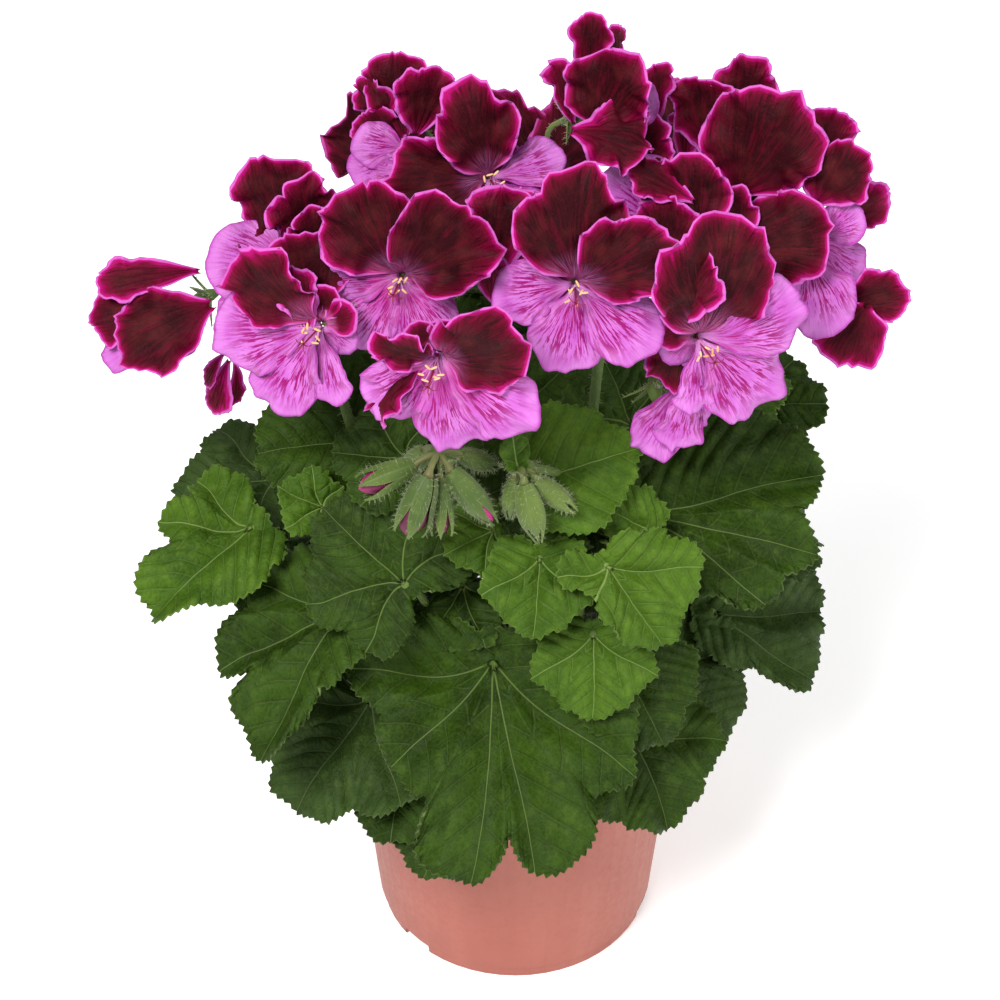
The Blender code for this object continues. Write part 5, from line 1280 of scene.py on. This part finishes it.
def make_soil():
    """Peat with crumbs and bark, heaped a little at the crown."""
    rng = np.random.default_rng(5)
    B = Build()
    wall = lambda z: POT_BASE_R+(POT_RIM_R-POT_BASE_R)*z/POT_H
    rin = wall(SOIL_TOP-2)-POT_WALL-.9
    nr, na = 46, 150
    r = np.linspace(0.6, 1, nr)**1.0
    r = np.linspace(.02, 1, nr)*rin
    a = np.arange(na)*2*math.pi/na
    R, A = np.meshgrid(r, a, indexing='ij')
    X, Y = R*np.sin(A), -R*np.cos(A)
    Z = SOIL_TOP+1.4-1.6*(R/rin)**3
    for k in range(26):
        w = rng.uniform(.12, 1.1)
        d = rng.uniform(0, 2*math.pi)
        Z = Z+.30/(1+w*2.2)*np.sin(X*w*math.cos(d)+Y*w*math.sin(d)+rng.uniform(0, 6))
    Z += rng.uniform(-.28, .28, Z.shape)
    Z[-1] = SOIL_TOP-1.2
    P = np.stack([X, Y, Z], -1)
    pts = np.vstack([P.reshape(-1, 3), [[0, 0, SOIL_TOP+1.5]]])
    j = np.arange(na)
    B.add(pts, [grid(nr, na, True)[:, ::-1], np.stack([np.full(na, nr*na), (j+1) % na, j], 1)[:, ::-1]], PEAT)
    # the root ball's side, seen through the drain holes and over the rim
    prof = [(rin, SOIL_TOP-1.2), (wall(46)-POT_WALL-.9, 46), (wall(9)-POT_WALL-.9, 9.2), (wall(5)-POT_WALL-3.7, 5.7), (.1, 5.7)]
    lathe_rings(B, prof, 72, PEAT)
    # loose crumbs and slivers of bark
    for k in range(620):
        rr = rin*math.sqrt(rng.random())*.97
        t = rng.uniform(0, 2*math.pi)
        c = V(rr*math.sin(t), -rr*math.cos(t), SOIL_TOP+1.4-1.6*(rr/rin)**3+.15)
        s = rng.uniform(.5, 1.7)
        st = rng.random() < .3
        ax = unit(rng.normal(size=3)*(1, 1, .3))
        b, cc = unit(np.cross(ax, V(0, 0, 1)+.01)), None
        cc = np.cross(ax, b)
        l, w, h = (s*2.2, s*.45, s*.4) if st else (s, s*rng.uniform(.6, 1), s*rng.uniform(.5, .9))
        v = np.array([ax*l, -ax*l, b*w, -b*w, cc*h, -cc*h])*(1+rng.uniform(-.2, .2, (6, 1)))+c
        f = np.array([(0, 2, 4), (2, 1, 4), (1, 3, 4), (3, 0, 4), (2, 0, 5), (1, 2, 5), (3, 1, 5), (0, 3, 5)])
        B.add(v, [f], BARK if rng.random() < .25 else PEAT)
    return B.make('soil_surface', soft=False)

def make_shoots():
    rng = np.random.default_rng(9)
    B = Build()
    for n in SHOOT_NAMES:
        c = spline(SHOOTS[n], 40)
        r = np.linspace(SHOOT_R[0], SHOOT_R[1], 40)
        # swollen where leaves leave
        for lf in LEAVES:
            if lf['on'] == n:
                r = r+.55*np.exp(-((c[:, 2]-lf['h'])/2.2)**2)
        add_tube(B, c, r, 16, SHOOT)
        m = 260
        kk = rng.integers(0, 39, m)
        f = rng.random(m)[:, None]
        p = c[kk]*(1-f)+c[kk+1]*f
        tg = c[kk+1]-c[kk]
        tg /= np.linalg.norm(tg, axis=1)[:, None]
        dd = rng.normal(size=(m, 3))
        dd -= tg*np.sum(dd*tg, 1)[:, None]
        dd /= np.linalg.norm(dd, axis=1)[:, None]
        add_hairs(B, p+dd*r[kk][:, None], dd, rng.uniform(.8, 1.6, m), HAIR, rng, r=.04)
        # stipules: pairs of small dry scales at each leaf joint
        for lf in LEAVES:
            if lf['on'] == n:
                i = int(np.argmin(np.abs(c[:, 2]-lf['h'])))
                d = unit(V(lf['base'][0]-c[i][0], lf['base'][1]-c[i][1], 0))
                s = np.cross(d, V(0, 0, 1))
                for k in (-1, 1):
                    o = unit(d*.6+s*k)
                    sepal(B, c[i]+o*(r[i]-.2)-V(0, 0, 1), o, V(0, 0, 1)+o*.35, 6.5, 2.2, CALYX, rng, 0, curl=.2)
    crown = [(9.2, 82), (9.4, 85.5), (8.6, 87.5), (5.5, 89.5), (.2, 90.3)]
    lathe_rings(B, crown, 24, SHOOT)
    return B.make('shoot_stems')

def make_stalk(n):
    """A long hairy flower stalk with the knot that its flowers leave from."""
    rng = np.random.default_rng(40+ord(n))
    B = Build()
    end = V(*SHOOTS[n][-1])
    way = unit(V(*STALKS[n][0])-end)
    path = spline([end-way*1.0]+[V(*p) for p in STALKS[n]], 26)
    up = unit(path[-1]-path[-2])
    path = np.vstack([path, path[-1]+up*1.6, path[-1]+up*3.2, path[-1]+up*4.4])
    r = np.r_[2.7, 2.4, np.full(21, 1.75), 1.85, 2.1, 2.5, 2.9, 2.5, 1.2]
    add_tube(B, path, r, 14, SHOOT)
    # a whorl of small pointed bracts under the knot
    k = knot(n)
    for i in range(6):
        a = i*math.pi/3+.4
        s = unit(np.cross(up, V(1, .2, 0)))
        d = math.cos(a)*s+math.sin(a)*np.cross(up, s)
        sepal(B, k+d*1.7-up*2.2, d, up+d*.75, 8.5, 2.2, CALYX, rng, 14, curl=.25)
    m = 320
    kk = rng.integers(0, len(path)-2, m)
    f = rng.random(m)[:, None]
    p = path[kk]*(1-f)+path[kk+1]*f
    tg = path[kk+1]-path[kk]
    tg /= np.linalg.norm(tg, axis=1)[:, None]
    dd = rng.normal(size=(m, 3))
    dd -= tg*np.sum(dd*tg, 1)[:, None]
    dd /= np.linalg.norm(dd, axis=1)[:, None]
    add_hairs(B, p+dd*r[kk][:, None], dd, rng.uniform(.8, 1.7, m), HAIR, rng, r=.038)
    return B.make('stalk_'+n.lower())

def bud(B, c, d, ln, fat, rng, show):
    """A long pointed bud: five striped, hairy sepals closed round the rolled petals."""
    d = unit(d)
    s = unit(np.cross(d, V(.3, 1, .2)))
    w = np.cross(d, s)
    t = np.linspace(0, 1, 12)
    r = fat*np.clip(np.sin(math.pi*(t*.86+.10))**.75, .05, 1)*(1-.30*t)
    r[-1] = .25
    add_tube(B, c+t[:, None]*ln*.80*d, r*.80, 12, CALYX, st=.1)
    # petals rolled to a tip
    if show:
        t2 = np.linspace(0, 1, 9)
        add_tube(B, c+d*ln*.42+t2[:, None]*ln*(.50+.14*show)*d, fat*(.72+.20*show)*np.sin(math.pi*(t2*.75+.22))**.8*np.r_[np.ones(8), .12], 10, DARK_BUD)
    for i in range(5):
        a = i*2*math.pi/5+rng.uniform(-.12, .12)
        o = math.cos(a)*s+math.sin(a)*w
        P = []
        side = np.cross(d, o)
        S, T = np.meshgrid(np.linspace(0, 1, 13), np.linspace(-1, 1, 9), indexing='ij')
        rr = np.interp(S*.86, t, r)+.35
        halfw = fat*(.98-.36*show)*np.clip(np.sin(math.pi*(S*.84+.15)), 0, 1)*(1-.55*S**3)
        al = T*halfw/np.maximum(rr, .8)*.9
        out = (rng.uniform(.0, .25)+show*2.4*rng.uniform(.5, 1))*smooth(.35, 1, S)-.35*fat*smooth(.55, 1, S)*(show < .3)
        P = c+(S*ln)[..., None]*d+((rr+out-.25*np.abs(T)+.28*np.exp(-(T/.22)**2))[..., None])*(np.cos(al)[..., None]*o+np.sin(al)[..., None]*side)
        N = grid_normals(P, False)
        if np.mean(np.sum(N*(P-(c+(S*ln)[..., None]*d)), -1)) < 0:
            N = -N
        st = .55*smooth(.72, .98, np.abs(T))+.35*np.exp(-(T/.12)**2)
        g = grid(13, 9, False)
        ccw = np.dot(np.cross(P[5, 5]-P[5, 4], P[4, 4]-P[5, 4]), N[5, 4]) > 0
        B.add((P+N*.12).reshape(-1, 3), [g[:, ::-1] if ccw else g], CALYX, st=np.clip(st, 0, 1).ravel())
        B.add((P-N*.12).reshape(-1, 3), [g if ccw else g[:, ::-1]], CALYX, st=0.0)
        m = 54
        ii, jj = rng.integers(0, 12, m), rng.integers(0, 9, m)
        hd = N[ii, jj]+rng.normal(size=(m, 3))*.25+d*.3
        hd /= np.linalg.norm(hd, axis=1)[:, None]
        add_hairs(B, P[ii, jj]+N[ii, jj]*.1, hd, rng.uniform(1.0, 2.4, m), HAIR, rng, r=.028)

def make_buds(c):
    rng = np.random.default_rng(len(c['name'])*7)
    B = Build()
    k = V(*HANG[c['name']]['knot'])
    s0 = V(*SHOOTS[c['on']][-1])
    via = V(*c['via'])
    side = unit(V(via[0]-s0[0], via[1]-s0[1], 0))
    start = s0+side*(SHOOT_R[1]+.2)-V(0, 0, 4)
    path = spline([start, via, k+V(0, 0, 1)], 24)
    add_tube(B, path, np.r_[2.2, 1.8, np.full(19, 1.45), 1.8, 2.4, 2.6], 12, SHOOT)
    for b0, tip, fat, show in HANG[c['name']]['buds']:
        b0, tip = V(*b0), V(*tip)
        d = unit(tip-b0)
        ln = np.linalg.norm(tip-b0)
        p = bezier(k, k+unit(b0-k)*2+V(0, 0, 2), b0-d*2.5+V(0, 0, 2), b0, 10)
        add_tube(B, p, np.r_[1.3, np.full(7, 1.05), 1.4, 2.1], 9, PEDICEL)
        bud(B, b0-d*.6, d, ln, fat, rng, show)
    for i in range(9):
        a = i*2*math.pi/9
        d = V(math.cos(a), math.sin(a), 0)
        sepal(B, k+d*1.4-V(0, 0, .5), d, V(0, 0, rng.uniform(-.6, .5))+d, 8.5, 2.1, CALYX, rng, 30, curl=-.15)
    m = 200
    kk = rng.integers(0, len(path)-2, m)
    f = rng.random(m)[:, None]
    p = path[kk]*(1-f)+path[kk+1]*f
    dd = rng.normal(size=(m, 3))
    tg = path[kk+1]-path[kk]
    tg /= np.linalg.norm(tg, axis=1)[:, None]
    dd -= tg*np.sum(dd*tg, 1)[:, None]
    dd /= np.linalg.norm(dd, axis=1)[:, None]
    add_hairs(B, p+dd*1.4, dd, rng.uniform(.8, 1.8, m), HAIR, rng, r=.04)
    return B.make(c['name']+'_cluster')

# ---------------------------------------------------------------- finishes
LEAF_TOP = leaf_material('leaf_top', srgb(26, 44, 4), srgb(46, 70, 10), srgb(72, 98, 26), srgb(112, 134, 66))
LEAF_LOW = leaf_material('leaf_under', srgb(78, 98, 48), srgb(92, 112, 58), srgb(108, 126, 72), srgb(134, 146, 98), under=True, rough=.68)
YOUNG_TOP = leaf_material('leaf_young_top', srgb(46, 74, 10), srgb(68, 98, 18), srgb(96, 124, 36), srgb(136, 158, 84))
OLD_TOP = leaf_material('leaf_old_top', srgb(36, 54, 16), srgb(54, 76, 28), srgb(76, 98, 44), srgb(106, 124, 74))
DARK = petal_dark_material('petal_dark')
DARK_BACK = petal_dark_material('petal_dark_back', True)
PINK = petal_pink_material('petal_pink')
PINK_BACK = petal_pink_material('petal_pink_back', True)
CALYX = green_material('calyx', srgb(58, 80, 22), srgb(84, 104, 36), srgb(128, 130, 78), .6, .12)
PEDICEL = green_material('pedicel', srgb(96, 92, 50), srgb(98, 112, 52), None, .55, .15)
SHOOT = green_material('shoot', srgb(66, 90, 28), srgb(88, 110, 42), None, .6, .12)
STALK = green_material('leaf_stalk', srgb(74, 98, 34), srgb(100, 122, 50), None, .6, .12)
HAIR = plain_material('hair', srgb(176, 184, 140), srgb(196, 202, 164), .5)
FILAMENT = plain_material('filament', srgb(232, 190, 226), srgb(206, 110, 190), .5)
ANTHER = plain_material('anther', srgb(222, 168, 112), srgb(236, 190, 140), .8, 900, .4)
STYLE = plain_material('style', srgb(120, 8, 44), srgb(150, 14, 66), .5)
DARK_BUD = plain_material('bud_petal', srgb(168, 14, 108), srgb(52, 8, 20), .6, 420, .3)
PEAT = plain_material('peat', srgb(40, 28, 20), srgb(62, 44, 31), .95, 900, .8, .0006)
BARK = plain_material('bark', srgb(92, 66, 44), srgb(62, 44, 30), .9, 700, .6, .0005)

def pot_material():
    """Moulded plastic in a dusty terracotta colour: a fine grained skin, faint streaks of flow, and scuffs low down."""
    m = Mat('pot_plastic', .48, 0, spec=.4)
    w = m.where()
    sep = m.node('ShaderNodeSeparateXYZ')
    m.put(sep.inputs[0], w)
    x, y, z = sep.outputs[:3]
    fine = m.noise(w, 1500, 3, .6)
    grain = m.noise(w, 420, 4, .6)
    flow = m.noise(m.combine(m.math('MULTIPLY', x, 34), m.math('MULTIPLY', y, 34), m.math('MULTIPLY', z, 5)), 1.6, 4, .55, .4)
    blotch = m.noise(w, 26, 3, .5)
    c = m.mix(m.step(blotch, .3, .7), srgb(156, 82, 68), srgb(163, 89, 74))
    c = m.mix(m.math('MULTIPLY', m.step(flow, .45, .7), .30), c, srgb(172, 101, 86))
    c = m.mix(m.math('MULTIPLY', m.step(grain, .56, .72), .16), c, srgb(142, 71, 58))
    # faint dust and water marks towards the foot, and a paler band round the top of the rim, a painted highlight
    low = m.math('SUBTRACT', 1.0, m.step(z, .004, .030))
    c = m.mix(m.math('MULTIPLY', m.math('MULTIPLY', low, m.step(grain, .42, .62)), .30), c, srgb(154, 94, 80))
    rim = m.step(z, .0935, .0957)
    c = m.mix(m.math('MULTIPLY', rim, .30), c, srgb(204, 142, 126))
    m.color(c)
    m.bump(m.math('ADD', m.math('MULTIPLY', fine, .5), m.math('ADD', grain, m.math('MULTIPLY', flow, .6))), .16, .0003)
    m.rough(m.lin(grain, .3, .7, .42, .58))
    return m.m
POT = pot_material()

# ---------------------------------------------------------------- the object's pieces
SLOT = {}
for s, names in (('leaf_young', ('young_bright', 'left_wing', 'upper_mid', 'centre_small', 'right_fold')),
                 ('leaf_old', ('left_back', 'left_back_low', 'right_outer', 'right_lower', 'back_left', 'back_right', 'left_side', 'right_side', 'left_under'))):
    for n in names:
        SLOT[n] = s

def keep(ob, nodes):
    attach(ob, 'root')
    if nodes:
        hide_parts(*nodes)
    return ob

def leaf_start(lf, r=1.3):
    c = spline(SHOOTS[lf['on']], 60)
    i = int(np.argmin(np.abs(c[:, 2]-lf['h'])))
    rad = SHOOT_R[0]+(SHOOT_R[1]-SHOOT_R[0])*i/59
    b = V(*lf['base'])
    d = unit(V(b[0]-c[i][0], b[1]-c[i][1], 0))
    return c[i]+d*(rad-.6), d

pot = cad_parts['pot']
pot.data.materials.clear() if len(pot.data.materials) == 0 else None
for s in pot.material_slots:
    s.material = POT
keep(make_soil(), ['potting_soil'])
keep(make_shoots(), ['shoots'])
for n in STALKS:
    keep(make_stalk(n), ['flower_stalk_'+n.lower()])
for c in BUDS:
    keep(make_buds(c), [c['name']])
for lf in LEAVES:
    s, _ = leaf_start(lf)
    kind = SLOT.get(lf['name'], 'leaf_green')
    top = {'leaf_young': YOUNG_TOP, 'leaf_old': OLD_TOP, 'leaf_green': LEAF_TOP}[kind]
    keep(make_leaf(dict(lf, **LOOK.get(lf['name'], {})), 'leaf_'+lf['name']+'_blade', (top, LEAF_LOW), s, STALK), ['leaf_'+lf['name']])
for lf in SMALL:
    s, _ = leaf_start(lf)
    keep(make_leaf(lf, 'small_leaf_'+lf['name'], (YOUNG_TOP if lf.get('young') else LEAF_TOP, LEAF_LOW), s, STALK, .8), [])
for fl in FLOWERS:
    f = dict(fl, **BLOOM.get(fl['name'], {}))
    if 'petals' not in f:
        s = f['size']
        f['petals'] = [('U', -35, s*1.06, 34, 30), ('U', 35, s*1.06, 34, 34), ('L', -108, s*.82, 32, 16), ('L', 108, s*.82, 32, 16), ('L', 180, s*.82, 34, 8)]
    f['seed'] = f.get('seed', sum(ord(ch) for ch in fl['name']) % 17+1.0)
    a, b = make_flower(f, 'flower_'+fl['name'])
    keep(a, ['flower_'+fl['name']])
    keep(b, ['flower_'+fl['name']])

# ---------------------------------------------------------------- floor, light, camera
def stage_material():
    m = Mat('floor', .9, 0)
    n = m.noise(m.where(), 12, 3)
    m.color(m.mix(m.step(n, .3, .7), srgb(250, 250, 250), srgb(252, 252, 252)))
    m.b.inputs['Emission Color'].default_value = (1, 1, 1, 1)
    m.b.inputs['Emission Strength'].default_value = .30
    return m.m

fb = Build()
fb.add([(-3000, -3000, -.05), (3000, -3000, -.05), (3000, 3000, -.05), (-3000, 3000, -.05)], [np.array([(0, 1, 2, 3)])], stage_material())
floor = fb.make('floor', soft=False)

world = bpy.context.scene.world or bpy.data.worlds.new('world')
bpy.context.scene.world = world
world.use_nodes = True
bg = world.node_tree.nodes.get('Background')
bg.inputs[0].default_value = (1, 1, 1, 1)
bg.inputs[1].default_value = WORLD

def area(name, at, to, size, power, color=(1, 1, 1)):
    l = bpy.data.lights.new(name, 'AREA')
    l.shape = 'DISK'
    l.size = size
    l.energy = power
    l.color = color
    o = bpy.data.objects.new(name, l)
    bpy.context.scene.collection.objects.link(o)
    o.location = at
    o.rotation_mode = 'QUATERNION'
    o.rotation_quaternion = (Vector(to)-Vector(at)).to_track_quat('-Z', 'Y')
    return o

for l in LIGHTS:
    area(*l)

cam = bpy.data.cameras.new('camera')
cam.lens = 114.5
cam.sensor_width = 36
cam.clip_start, cam.clip_end = .05, 20
co = bpy.data.objects.new('camera', cam)
bpy.context.scene.collection.objects.link(co)
e = math.radians(41.05)
target = Vector((-.0057, 0, .1918))
co.location = target+1.1*Vector((0, -math.cos(e), math.sin(e)))
co.rotation_mode = 'QUATERNION'
co.rotation_quaternion = (target-co.location).to_track_quat('-Z', 'Y')
bpy.context.scene.camera = co
bpy.context.scene.view_settings.view_transform = 'Standard'
bpy.context.scene.view_settings.look = 'None'
